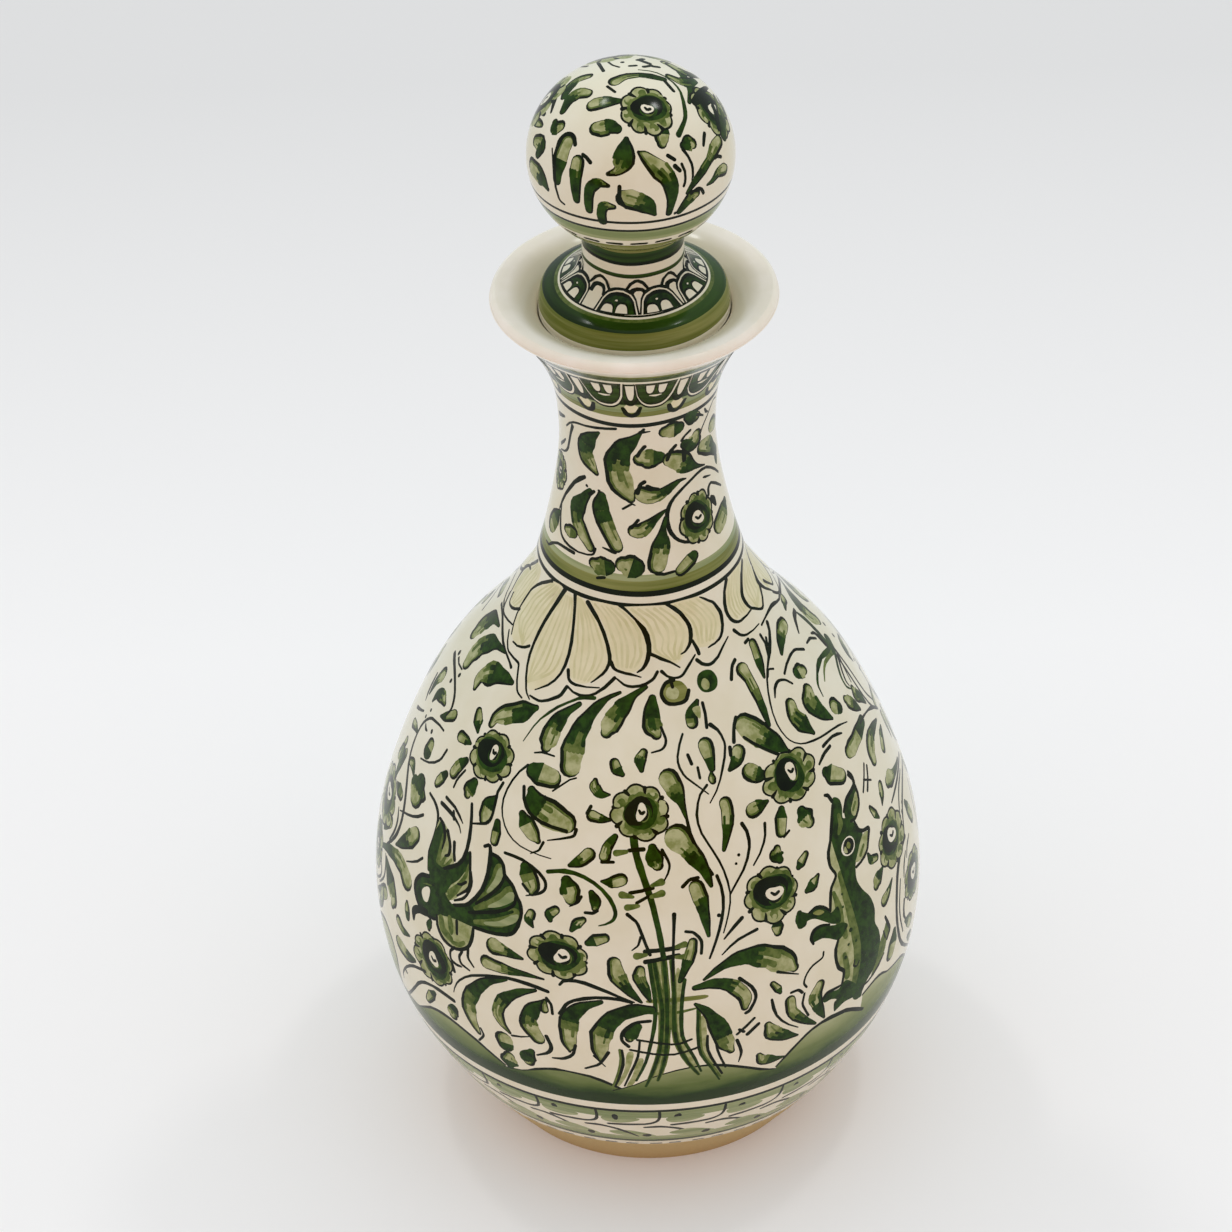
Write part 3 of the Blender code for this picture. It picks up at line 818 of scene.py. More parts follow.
# %% Hills and the plant's foot
body.paint("""
light .4 151 3.4 151 3.2 166 3 176 1.6 184 -.4 184 1 174 1.2 162
light 5.4 152 7 156 6.2 166 6.8 173 9.6 180 8 181 5.6 174 4.8 164
light 9.8 166 11 166 11.4 174 13 180 11.8 180 10 174
light -5.2 175 -3.8 175 -5 181 -7 186 -8 186 -6 181
light -3.2 177 -1.8 177 -3.2 183 -4.6 186 -5.6 186 -4.2 182
hill -92 187 .2 -86 181 .3 -80 175.2 .4 -76 172.7 .45 -72.5 172.4 .45 -69.5 174.6 .4 -68.2 178 .35
     -68.6 182.5 .3 -69.6 187.8 .2
hill 72 188 .15 77 184.5 .3 82 182 .35 87 184 .3 91 187.5 .15
hill -69 188.2 .1 -61 187.6 .15 -57 184.5 .25 -53 182 .35 -49 181 .45 -45 181.3 .4 -40 183 .4 -36
     185.5 .35 -33 187.5 .2
hill -33.6 188.4 .1 -28.5 187 .1 -25 184.8 .25 -21 183.3 .35 -17 182.9 .4 -12 184 .35 -8 186.3 .35
     -6 187.8 .2
hill -8.5 188 .1 -4 185.6 .1 0 182.8 .1 5 180.8 .15 10 180.2 .2 14 181 .35 19 183.3 .35 24 186.5 .3
     27 187.8 .1
hill 50 178.5 .25 54 177.2 .35 57 177.5 .35 60 179.2 .2 67 181 .3 71 184 .3 74 187 .2
hill 27 187 .2 29.5 184 .35 32 181.5 .35 35 179.3 .35 39 178.4 .45 43 179 .5 46 180.2 .5 51 184 .4
olive -.5 159.6 4 159.4 11 159.5 11 160.5 5 160.6 -.5 160.5
brush -.5 163.2 .25 4 163.6 .35 9 162.8 .2
brush .8 150 .5 1.5 156 .6 2.2 162 .6 2 168 .6 1.5 174 .55 .2 180 .5 -1.5 186 .3
brush 2.8 149 .6 3.2 160 .7 3 170 .7 2.5 177 .6 1 184 .3
brush 4.5 150 .5 4.7 158 .5 4.5 166 .6 5 172 .6 7 178 .5 9.5 183 .3
brush 9.8 162 .3 9.6 170 .4 10.1 176 .4 12.3 181 .35 14.2 185 .2
brush -6.6 174 .3 -6.4 178 .4 -7.4 183 .35 -8.6 187 .2
stalk 4.5 150 .3 4.7 158 .3 4.5 166 .35 5 172 .35 7 178 .3 9.5 183 .2
stalk .8 150 .35 1.5 156 .3 2.2 162 .35 2 168 .35 1.5 174 .3 .2 180 .3 -1.5 186 .2
stalk 2.8 149 .3 3.2 160 .35 3 170 .35 2.5 177 .3 1 184 .2
stalk -.2 150 .4 .3 155 .4 .8 160 .4 .6 166 .4 -.3 172 .35 -1.5 178 .3 -3.5 184 .2
stalk 7 155 .35 6.3 160 .35 6 166 .4 6.3 171 .35 8.5 177 .3 10 182 .2
stalk 9.5 163 .3 9.3 170 .3 9.8 176 .3 12 181 .25 14 186 .15
line 11.3 171 .25 11.5 176 .3 14.5 184 .2
line 12.8 170.5 .2 13.4 176 .25 15.2 182 .2
line -6.2 174 .2 -6 178 .3 -7 183 .25 -8 186.5 .15
line -2.5 171 .2 -3 176 .25 -4.5 181 .25 -6 186 .15
pen .25 -4.5 173.8 -1 174.8 2 175.5 5 175.5 8 174.6 9.5 174
pen .25 -3 170.8 0 171.5 3 172.3 5.5 172.4 8 171.4
pen .45 -1 147.5 6 147
pen .45 -1 150 6 148.8
brush 5.4 146.8 .35 7.4 146.3 .7
brush -2.8 148.6 .7 -.8 148.3 .35
brush 5.4 149.2 .35 7.4 149.3 .7
""")

# %% [markdown]
# Over the belly's shoulder and down its left side grow single leaves, no two alike, between the flower
# heads.

# %% Belly, left and centre
body.paint("""
leaf .58 -66 91.5 .3 -72 92.1 .9 -77 93.8 1.9 -80.5 96.4 2.4 -81.2 99.3 2.3 -80.3 101.5 1.7
dot -79 104.8 .6 -81 107.8 .6 -81 116.8 .5 -82 119.3 .5 -74.7 118.9 .6 -63 178.5 .6
leaf .55 -83.2 115.3 .4 -82.6 113 1.3 -79.5 111.8 1.3 -76 111.8 .6
line -79.8 120 .2 -78.5 120.5 .4 -77.2 120.3 .2
line -69.5 115.5 .2 -74 116 .25 -78.5 117.5 .3 -81.3 120.5 .35 -82 124 .35 -81.3 127.5 .45 -79.5
     130.5 .5
     -76 134.2 .55 -73.3 138 .55 -72 142 .5 -72.4 146 .5 -74.3 149.5 .4 -76.5 152 .2
line -75.5 141 .2 -74 143.5 .4 -74 146.5 .4 -75.5 150 .25
leaf .5 -82.3 124.2 .4 -85 124.5 .9 -88 125.5 1.1
leaf .4 -74.3 130.5 .5 -76.5 129.4 1.2 -78.4 129.8 .9
leaf .95 -81.5 138.3 .3 -78.5 138.3 1.5 -76.5 138.3 1.2
line -76 154.5 .2 -74.8 157.5 .35 -75.5 161 .3 -79 165 .2
leaf .5 -81 168.7 .5 -77 166.3 1.5 -73.6 163.3 1.8
leaf .5 -54.5 95.3 .6 -60 95.8 1.6 -66 97.6 2.5 -69 100 1.7 -68 102.5 .6
leaf .45 -40 97.2 .7 -44 99 2 -49 101.3 2.1 -52.5 103.5 1.5 -53 105.5 .9
leaf .5 -56.3 109 .4 -58.5 107 1.3 -60.3 105.3 .9
leaf .55 -24.3 93.2 .5 -28.5 95.8 1 -31 99 1.8 -31.5 102.5 2.1 -31.5 104.3 1.2
line -34.5 106.4 .12 -32 105.7 .2 -28 105.7 .15
leaf .62 -9.3 89.3 .3 -14.5 91 .6 -19 94.3 1.2 -22.3 99 1.8 -23 103.5 2.3 -22.5 107 2.2
pen .15 -20 109.2 -22 110 -26 113.2
leaf .62 1 88 .35 -4 89.8 .8 -8.5 93 1.7 -11.5 96.3 2 -12.8 98.3 1.2
leaf .68 3.2 90.5 .8 2.5 93.5 1.5 2.5 96.5 2 3.8 98.5 1
line 5.6 97 .25 6.8 99.8 .25 5.5 101.7 .2 2 102.4 .15
leaf .6 -1.2 106.2 .5 -1.5 104 1.1 -.5 102.3 .9
leaf .6 -6.8 107.2 .5 -8.5 106.2 1.1 -9.3 104.8 1.1
leaf .55 -10 111.8 .2 -12.5 111.8 .9 -14.3 110.4 1.2 -14.4 109 .5
leaf .5 -56.7 112.2 .3 -59 112.3 1.1 -61.5 112.6 1.3
leaf .55 -74.5 114.3 .3 -72 113 1 -69 111 1.4
leaf .5 -33 110.3 1.6 -30 110.6 2.3 -27 110.6 2
leaf .4 -32 114.5 1 -29.5 117 2.5 -25 118.3 2.8 -21 119.3 2.4
pen .35 -34.5 114.3 -33.5 117 -31 119.5 -27 120.8 -20.5 121.3
line -18 120.5 .35 -18.5 122 .3 -21 123 .2 -25 124.3 .1
leaf .5 -33 120.3 .9 -31 122.2 1.8 -28.8 124 1.6 -27.5 125 .7
line -26 125 .3 -26.8 127 .2 -28.8 128.3 .1
leaf .6 -39.4 124.4 .8 -39 127 1.2 -39 128.8 1
leaf .5 -41.8 119.2 .5 -43.3 121.5 1.5 -43.8 124 1.7 -43.8 125.5 1
line -41 115.5 .3 -41.8 118 .3 -41.5 121 .3 -41.5 124 .3 -42.5 125.8 .3 -45 127 .2 -47 127.8 .15
leaf .55 -50 119 1 -51 121.3 1.7 -51 122.3 1.1
leaf .45 -55.5 116 .7 -57.3 118.3 1.4 -58.2 120.5 1.3
pen .25 -54.5 118 -56 121 -56.3 123.2
leaf .5 -60.8 122.3 .9 -62 124.3 1.4 -62.8 125.8 .9
line -64.3 117.8 .3 -65 120.5 .3 -67 122.7 .25 -70 124.5 .2 -74 126 .15
leaf .55 -72.3 122.8 1.9 -72.2 121 1.5
leaf .45 -69.3 129.8 2 -69.2 131.8 3.7 -69.2 133 2.9
line -57.5 126.5 .35 -54 126.8 .35 -51.5 127.8 .3 -49.5 129 .1
line -58.5 128.5 .45 -55 128.6 .45 -52.5 129.2 .35 -50.5 130 .2 -49.3 131.3 .1
pen .35 -53.5 128 -52.7 129.5
leaf .55 -71.5 148.3 .3 -69 146 1.2 -66 143 2 -64.2 140.6 1.9
line -63.7 134.8 .35 -66 136.8 .3 -69 138.5 .25 -72 139.8 .2 -74.5 141 .1
line -59.3 143.5 .3 -61 145.5 .25 -63.5 147.3 .2 -65 148.2 .1
leaf .5 -80.5 155.3 .3 -76 152.8 .9 -71 150.9 1.5 -66.5 150.6 2 -63.3 152.3 2.1
line -35.5 130.3 .3 -31 130.3 .3 -27 131.5 .3 -24.3 133.5 .35 -24 135.5 .3 -25.5 137 .25 -28.3 138.2 .1
leaf .45 -29.5 131.8 1.2 -28.5 133.3 1.8 -27 135.5 1.8 -27 137 .8
pen .3 -29.5 135.8 -28 137
stalk -23.8 131.3 .4 -20 130.3 .45 -16 130.6 .4 -12 132.3 .35 -9 135 .4 -7.5 138 .4 -7.8 140 .3 -9.3
     141.2 .2 -11 141.8 .1
leaf .5 -19 132.5 1.3 -18 134.3 2 -17.5 136.3 1.5
line -15.3 135.5 .3 -16 137 .2 -17.8 138.2 .1
leaf .95 -13 134.3 .6 -12 136.2 1.2 -12 137.8 .8
pen .3 -11.5 138.3 -12.5 139 -14.2 139.1
leaf .5 -22 142.3 .6 -22.3 141 1.1 -21 139.7 .9
leaf .5 -17 143.7 .5 -16 142 1.1 -14.6 140.9 .7
leaf .6 -25.8 145 .3 -26.8 143.6 1 -26.5 142 1
leaf .5 -13.3 146.2 .7 -11.5 145.2 1.3 -9.7 144.6 1.1
leaf .55 -10.8 131.4 .3 -8.5 131.4 1.1 -6.3 130.7 1.4
leaf .6 -8 121 .6 -9.8 123.5 1.1 -10.3 125.7 1.2
pen .3 -11 127 -8.2 126.8
leaf .55 -18.7 128.8 .4 -16 127.3 1.3 -14.2 125.6 1.4
leaf .5 -9.5 117.4 .3 -12 117.3 1 -14.2 116.9 1.2
pen .35 -14.8 114.8 -15.6 116.5
line -35.3 109.5 .25 -37.5 112 .2 -39 115.5 .2 -39.5 119 .2 -38.5 122.5 .15 -36 125.5 .15 -32.5
     127.3 .12 -28 128 .1
     -23.5 128.2 .08
stalk -3.5 120 .8 -3 124 .7 -1.8 128 .7 -.5 132 .65 .7 136 .6 1.5 140 .55 2.2 144 .55 2.8 149 .5
pen .4 -4.5 124 -1 123.7
pen .35 -4.2 133.7 -.5 133 1 132.6
pen .3 -2.7 136 0 134.5 2 134
brush -7.6 124.7 .7 -5.2 124.3 .4
brush .8 132 .35 3 131.3 .7
brush .6 134.6 .35 3 133.9 .7
brush -6 134.2 .7 -3.6 134.6 .35
brush -4.8 137.1 .7 -2.4 136.7 .35
leaf .85 1.2 123.4 .9 1.6 125.5 1.8 2.3 127.4 1.1
line 3.5 124 .3 5 127 .25 4.8 129 .2 3.7 131 .1
line -4.8 138.7 .35 -2.8 140.5 .3 -1.8 143 .3 -.8 146 .3 0 148.3 .3
line -1.9 144 .25 -2.5 146 .2 -3.8 147.2 .1
line 5.5 139 .4 5.3 142 .3 5 146 .25 4.8 150 .25 4.6 155 .2
leaf .5 -2 160.3 .3 -4.8 157 1.1 -7 153.5 1.7 -7.6 150.5 1.5
leaf .55 -.2 160 .3 -1.2 157 1 -2.4 154 1.3 -2.2 152 1
rosette -55.5 -40 106 117.3 -53.5 -42.5 107.4 115.2 -48.8 -46.2 108.8 112
rosette -9.5 6 109.5 121.5 -5.8 2.8 111.8 119.5 -2.8 0 113.5 117.3
rosette -26.5 -13 145 156 -24 -14.5 147 154 -20.5 -17 148.8 152
rosette -58 -45 159.5 172.5 -55 -46 161 170 -52.5 -49.5 163.8 167.3
""")

# %% [markdown]
# The right side is built the same way, with longer stems that swing round the hare's ears.

# %% Belly, right
body.paint("""
line 10 115 .3 10.6 120 .3 11.5 124 .3 13.5 128 .3 15 131 .3
leaf .55 10.2 117.5 .25 9.3 113.8 .9 7.8 110.3 1.9 6.6 108.3 2.1
leaf .6 14.4 133.5 .4 13.2 129.5 1.2 10.8 125.5 1.8 7.6 121.3 2.6
leaf .68 12.7 145 .4 12.3 140.5 1 11.8 136.5 1.5 11 133.3 1.7
pen .35 7.8 132.8 9.5 131.4 11.5 131.2
line 16 131.5 .3 16.8 135 .3 16.6 139 .3 15.5 143 .3 14 147 .25 12.5 150.5 .2
dot 15.4 140.7 .5
line 17 111 .25 14.5 113 .2 13 117 .25 13.5 121 .2 15.5 125 .2 17.3 129 .2 18.3 133 .2 18.5 137 .15
     17.5 141 .15
     16 145 .1
line 24.3 121.3 .4 25.2 123.5 .35 25 127 .3 23 131 .25 20 134.5 .2 18.5 136.5 .15
line 30.3 123 .3 29.5 126 .25 27.5 129 .2 25.2 131.3 .15
dot 22 128 .4 21 129.8 .35
line 20.5 142.5 .4 18 144.5 .3 16 146.5 .15
line 23.5 146.2 .35 20 147 .3 17.5 148.3 .25 15.2 150.2 .1
leaf .6 18.6 126 .4 20.2 122 1 21.2 118 1.4 21.1 115.8 1.3
leaf .5 32.6 118.5 .4 30 118.9 1.3 28 119.3 1.6
leaf .5 34.5 112.8 .8 32.3 112.3 1.5 30.2 111 1.9
leaf .5 44 111 .5 41.5 107.7 1.7 37.5 104 2.7 34.3 100.8 2.5
pen .35 28.3 103.5 30 100.5 32 98.6
pen .3 32 103.3 35 106 39 109 42.5 111.5
leaf .6 24.5 109 .4 27.3 107.5 1.4 28.8 105.8 1.4
pen .35 26.5 104.3 26 106
leaf .55 19.4 107.7 .7 19.4 105 1.3 19.2 102.3 1.5
leaf .4 19 108.5 .3 18.8 109.8 .8 18.9 110.4 .7
line 12.5 99 .2 10.5 102 .2 9.7 105 .2 11 108 .2 14 110.5 .15 17 113 .1
line 22.5 98.3 .4 24.5 100 .3 25.3 103 .2 24 106 .25 22 109 .2 20 112 .15 17 115 .1
pen .3 13 103.7 13.7 105.8
pen .25 15.3 106.8 15.4 109.2
leaf .9 20 92.5 .4 17 95 1.3 16.5 97 1.2
light 17.5 94 20.5 93.8 19.5 96.5
pen .3 21.8 93.2 21.8 95.5 21 98.7
olive 7 89.7 9 87.6 12.3 87.1 15.6 87.7 17.5 89.8 15.6 91.6 12.3 92.2 8.8 91.6
light 8.5 89.8 9.5 88.6 11.2 88.4 13 88.8 13.8 89.8 12.8 91 11.2 91.2 9.3 90.8
pen .35 12.3 87 8.8 87.5 6.8 89.7 8.6 91.8 12.3 92.3 15.8 91.8 17.7 89.8
pen .3 11 86.5 11.5 88.5
dark 21.6 88.9 22.9 87 26 86.4 29.1 87 30.4 88.9 29.1 90.8 26 91.4 22.9 90.8
light 23.1 89.4 23.8 88.5 24.9 88.1 26 88.5 26.6 89.4 26 90.4 24.9 90.7 23.7 90.4
leaf .62 41.9 103.3 .5 43 98 1 43.3 93 1.2 42.3 89.8 1.5
pen .35 36 90.5 38.5 88 41 87
leaf .65 49.9 93.8 .4 51.2 91 1 52.7 88 1.2 53.2 86.3 1.1
pen .35 49.5 85 52 84.8
line 67.8 85.5 .45 66 87 .4 63 88.5 .4 59 90.3 .45 56 91.5 .3 53 93 .2
line 59.5 86 .35 59.5 88 .3 58.5 89.5 .4 57 91 .3
pen .3 61.5 87.5 60 88.8
line 53 93 .25 49.5 95.5 .2 47 98.5 .2 45.3 101.5 .15 44.7 105 .15 46 108.5 .12 49 110.8 .12 53 112
     .2 58 113 .2
     62 113.6 .2 67 114.8 .2 70 116 .1
pen .2 51.5 94.3 53.5 93.2 55.8 93.8
line 49.3 99 .15 51.5 97.3 .3 54.5 96.6 .3 57.5 97.5 .25 59.3 99.3 .2
line 59 96.4 .25 63 95.3 .3 68 94.8 .3 72 95.3 .3 76 97.3 .3
leaf .5 64 92.8 .5 68 90.8 1.2 73 89.6 1.7 77 89.6 1.4
leaf .5 64.6 98.6 1.4 66.5 98.9 1.7 67.8 99.3 1.1
leaf .6 55.3 110.8 .5 53.3 107.5 1.9 52 104.8 1.8 53.3 102.4 1.3
leaf .6 65 112 .4 62 108.3 1.9 61 105.2 2.2 63.3 103 1.5
leaf .5 70.3 112 1.3 69.2 110.8 1.8
line 56 114.8 .35 60 114.7 .3 63 115.3 .3 65.3 116.3 .15
line 58.5 116 .35 55 116.3 .35 52 117.4 .25
leaf .6 53 120 1.2 54.5 121.5 2 57.5 123.5 1.8
pen .3 60 124.5 61 126.5 60 129
leaf .5 77 120.2 1.3 71 120.5 1.7 66.5 120.8 1.8 64.5 120.8 1.5
leaf .45 79.6 118.5 .4 78 116.3 1.4 76.3 114.3 1.7 75.5 113 .9
dot 76.7 146.6 .7 78.4 145.2 .5
leaf .4 80.3 146.9 .8 81 149.5 1.5 82 152.2 1.6
line 69 159 .2 70 156.5 .35 72.3 154.3 .2
line 72.3 156 .2 74 154 .3 76.7 153 .2
line 67.7 164.3 .3 67.2 167 .4 67.6 169.5 .3
leaf .8 68 170.7 .5 70 172.2 1.4 72 174.2 1.6
leaf .9 70.8 177.8 .5 72.3 179 1.2 74 180.5 1.2
pen .25 68 126.5 65.5 128.8 63 131
pen .3 68.8 127.6 67 129.8 64.8 131.8
pen .2 65 129 68 131
leaf .6 65.3 139.5 .3 64 137.3 1 63.2 135.3 .5
leaf .5 68.5 138.2 .3 70 136.4 1 71 134.5 1
leaf .5 35.8 121.6 .8 34.7 124 1.5 34 126.3 1.3
pen .25 34.5 127.7 36.3 126.9
leaf .45 41.3 124.3 1.3 42 126 2.2 42.6 127.3 1.3
leaf .5 32 132.3 .9 31.3 131 1.6 31.9 129.6 .8
leaf .5 36.3 135.8 .6 37.4 135 1.2 39 133.8 .8
leaf .6 37 142 .6 38.8 141.4 1.2 40.8 139.9 .5
leaf .6 28.5 146 .8 28.3 147.5 1.4 28.2 148.5 1
leaf .6 34 146.3 .7 34 147.7 1.3 34.5 149 .8
leaf .5 60.5 150 .4 58 151.3 1.7 57 152.3 1
leaf .5 63.3 155 .3 61 156.8 1 59 157.7 1.4
leaf .5 57 143.8 .4 57.5 145.5 1 59.5 146.3 .8
leaf .6 62 168.6 .8 61.3 171.3 1.7 60.3 174.3 1.8
line 74 151.4 .5 70 152.2 .6 66.5 155.2 .6 64.5 159.5 .55 63.4 165 .5 64 170.5 .5 66 175.5 .45 69.5
     179.5 .35 74 183.5 .25
line 67 158 .2 65.2 163 .25 65.2 168 .25 66.8 173 .2
pen .3 68 164.5 67 168 68 170
rosette 33 50.5 110 121.5 36.5 46.5 111.4 119.3 40.5 44 112.8 116.5
rosette 21.5 35 133 145.7 24 33.5 134.5 143 27 31 137.5 141
rosette 61 75 141 153.5 63 71.5 143 150.5 66 70 144.3 148
rosette 68.5 82 157.3 168.8 70.5 79.5 158.8 167.2 73.5 77.3 160.6 164.6
""")

# %% [markdown]
# Big fronds rise from the plant's foot on both sides, each one a dark stroke that ends in a pale bulb.

# %% Fronds over the hills
body.paint("""
line -19 157.7 .25 -18 156.5 .3 -15 156 .4 -11 157 .35 -7 158.8 .3 -3.5 160.3 .15
leaf .5 -27.5 153.5 .3 -31 153.2 1.1 -34.5 153 1.8
leaf .55 -22.5 157.2 .2 -27 157.2 .6 -31 157.6 1.1 -36 157.7 1.6
leaf .5 -75 155 .5 -72.5 156.8 1.8 -70 158.8 2.5 -68.3 161.2 2 -68.6 163.3 .8
leaf .6 -61 160.8 .8 -61.5 158.8 1.2 -61.8 157.2 .5
leaf .95 -52.7 156.2 .6 -53 157.4 .9 -52.9 158.4 .5
leaf .5 -60 165.3 .3 -63 165.8 1.1 -65 164.8 1.3
leaf .5 -58 171 .5 -61.5 172 1.7 -65 171.5 1.8
line -54 171.3 .35 -58 172.8 .35 -61.5 175.5 .3 -64 178.5 .25 -65.5 181 .2 -66 183 .1
line -45 173.8 .5 -49 173.6 .5 -52 174 .4 -55 175.3 .4 -57.5 177.5 .35 -60 181 .3 -64 186 .3 -68 190 .25
leaf .6 -51.3 175.8 .6 -53 178 1.3 -54.5 180.5 .9
leaf .6 -45.3 176.6 1.3 -45.8 178 1.8 -45.8 179 1.2
line -21.5 160.2 .4 -26 159.5 .4 -31 159.8 .35 -35 161 .3 -40 163.5 .25 -43 166.5 .2 -44.3 169 .15
     -44.8 171 .1
leaf .5 -31 160.3 .3 -35.5 162.8 1 -39 167 1.6 -40.8 171.5 1.9 -40.3 176 1.6 -38.7 179.8 .6
pen .25 -38 178 -37.5 180 -39 182.5
leaf .5 -24.3 160.7 .4 -28 162.6 .9 -31.5 166 1.4 -33 170 1.4 -32.3 173 1.1 -30.5 175.3 .4
line -30 176 .25 -27.5 175.3 .2 -26 174.6 .1
leaf .55 -22 162.8 .5 -25 166.3 1.6 -26 170.5 2 -24 174.3 1.7
leaf .3 -22.3 163 .5 -22.3 165.3 1
pen .3 -21.8 162 -20.8 163.5 -20.5 166
line -22 173 .4 -21.1 176 .45 -22 178.2 .35 -24.5 179.9 .2
pen .35 -4 160.3 -8 159.5 -13 160 -17 162 -19 165.5
leaf .5 -10.3 160.7 .5 -14 162.5 1.2 -16.8 165.8 1.9 -17.3 170 2 -17.2 174 1.4 -17.1 176.3 .3
line -15.8 174 .3 -16.5 177 .35 -18.5 178.9 .35 -21 179.5 .2
leaf .52 0 162.3 1 -4 162.5 1.5 -8 165 1.8 -10.4 169.5 2.2 -10.8 174 1.8 -10.8 177.5 .6
line -9 175 .35 -11 179 .3 -14 181 .25
line -12 176.5 .25 -9.8 179.6 .1
leaf .95 -3 167 1 -4.3 169.2 1.6 -4.6 170.6 .8
pen .35 -.3 165.4 -3.5 166 -5.8 168.5 -6.1 171 -4.8 172.8
leaf .5 -32 180 1.8 -32.2 178.3 2.3
leaf .95 -25.7 179.2 .8 -26.6 181.3 1.9 -26.6 183 1.2
leaf .5 -31.8 187.2 .9 -31.8 185.3 2.3 -31.5 183.5 1.3
leaf .52 11 155.6 .3 15 153 .9 20 151.8 1.7 25 153.3 2.5 29.3 156.5 2.6 31 158.8 1
line 27 158.3 .3 31.8 161 .1
leaf .5 9 157.4 .6 13 157 1.1 16.8 158.6 1.5 19.3 162 1.6 19.3 165 .8
pen .35 18.5 157 21 160 21.8 163 20.5 166 19.5 166.7
leaf .68 9 161.7 .4 11.5 164.5 1.1 13.5 169 1.9 15 174 1.9 16.3 177 .8
line 17.5 174 .35 18.5 178 .3 18 181.2 .1
leaf .55 6 155.3 .4 7.5 151.5 1 8.5 149 1.2 9.2 146 1
pen .3 7.8 143.3 9.5 143.8 11 146 10.8 149
leaf .6 27.3 164 .4 26.7 162.6 1 25.7 161 .7
pen .22 38.5 158.5 38 159.8 35.5 160.5 33.8 162 33 164 33.6 165.5
line 25.3 165.2 .3 25.7 168 .35 26.5 170.5 .25 28.5 173.5 .2 31.5 176.3 .1
leaf .5 36 177.8 .3 32.8 174.7 1 30 171 1.3 29.5 167.3 1.2
pen .3 29.8 165.2 31.5 165.3 32.5 166.5
leaf .55 38.3 177.3 .3 36.6 173 1.3 35.8 169.5 1.6 37 166.7 1.3
pen .25 33 167 32.5 170 34 174
pen .3 21.3 168.8 19 171 17.5 172.3
pen .4 22.2 170.8 19.8 173
pen .3 18 171 19 172
leaf .5 31.5 178.8 .3 28.3 177.2 1.3 25.5 175 1.8 24.3 172 .9
leaf .5 28.5 184.3 .3 26 183.9 1 23.5 182.8 1.4 22.5 180.8 .7
""")

# %% [markdown]
# Near the silhouette the two paintings meet, so what shows only at the very edge is laid once, in front:
# on the left a flower head among leaves, and on the right a tuft of grass from which long blades fan out.

# %% Far sides
body.paint("""
rosette 90.5 101.5 152 163.5 93.2 98.8 155.2 160.8 94.8 97.2 156.8 159.3
line 99.5 178 .2 98.5 172 .35 97 166.5 .35 96.5 164 .25
leaf .5 97.5 171 .3 94 170.5 1 90.5 168.5 1.6 88.5 166.5 1.3
leaf .5 98.8 173 .3 101.5 171 1 103.6 167.5 1.5 104.4 165 1.2
leaf .5 95.5 150.5 .4 94 147.5 1.1 93.8 145.2 1.4
leaf .5 99 151 .4 101 148.5 1.1 102.6 146.5 1.3
leaf .55 97 142 .3 95.5 138.5 .9 95.5 134.5 1.5 96.5 131.5 1.3
leaf .5 91.6 136 .3 92.2 133 .9 93 130.3 1.2
line 92.5 174 .2 90 171.8 .3 88 171.8 .2
line 88.5 163 .15 87 158 .3 87.5 152 .3 90 148 .2
""")
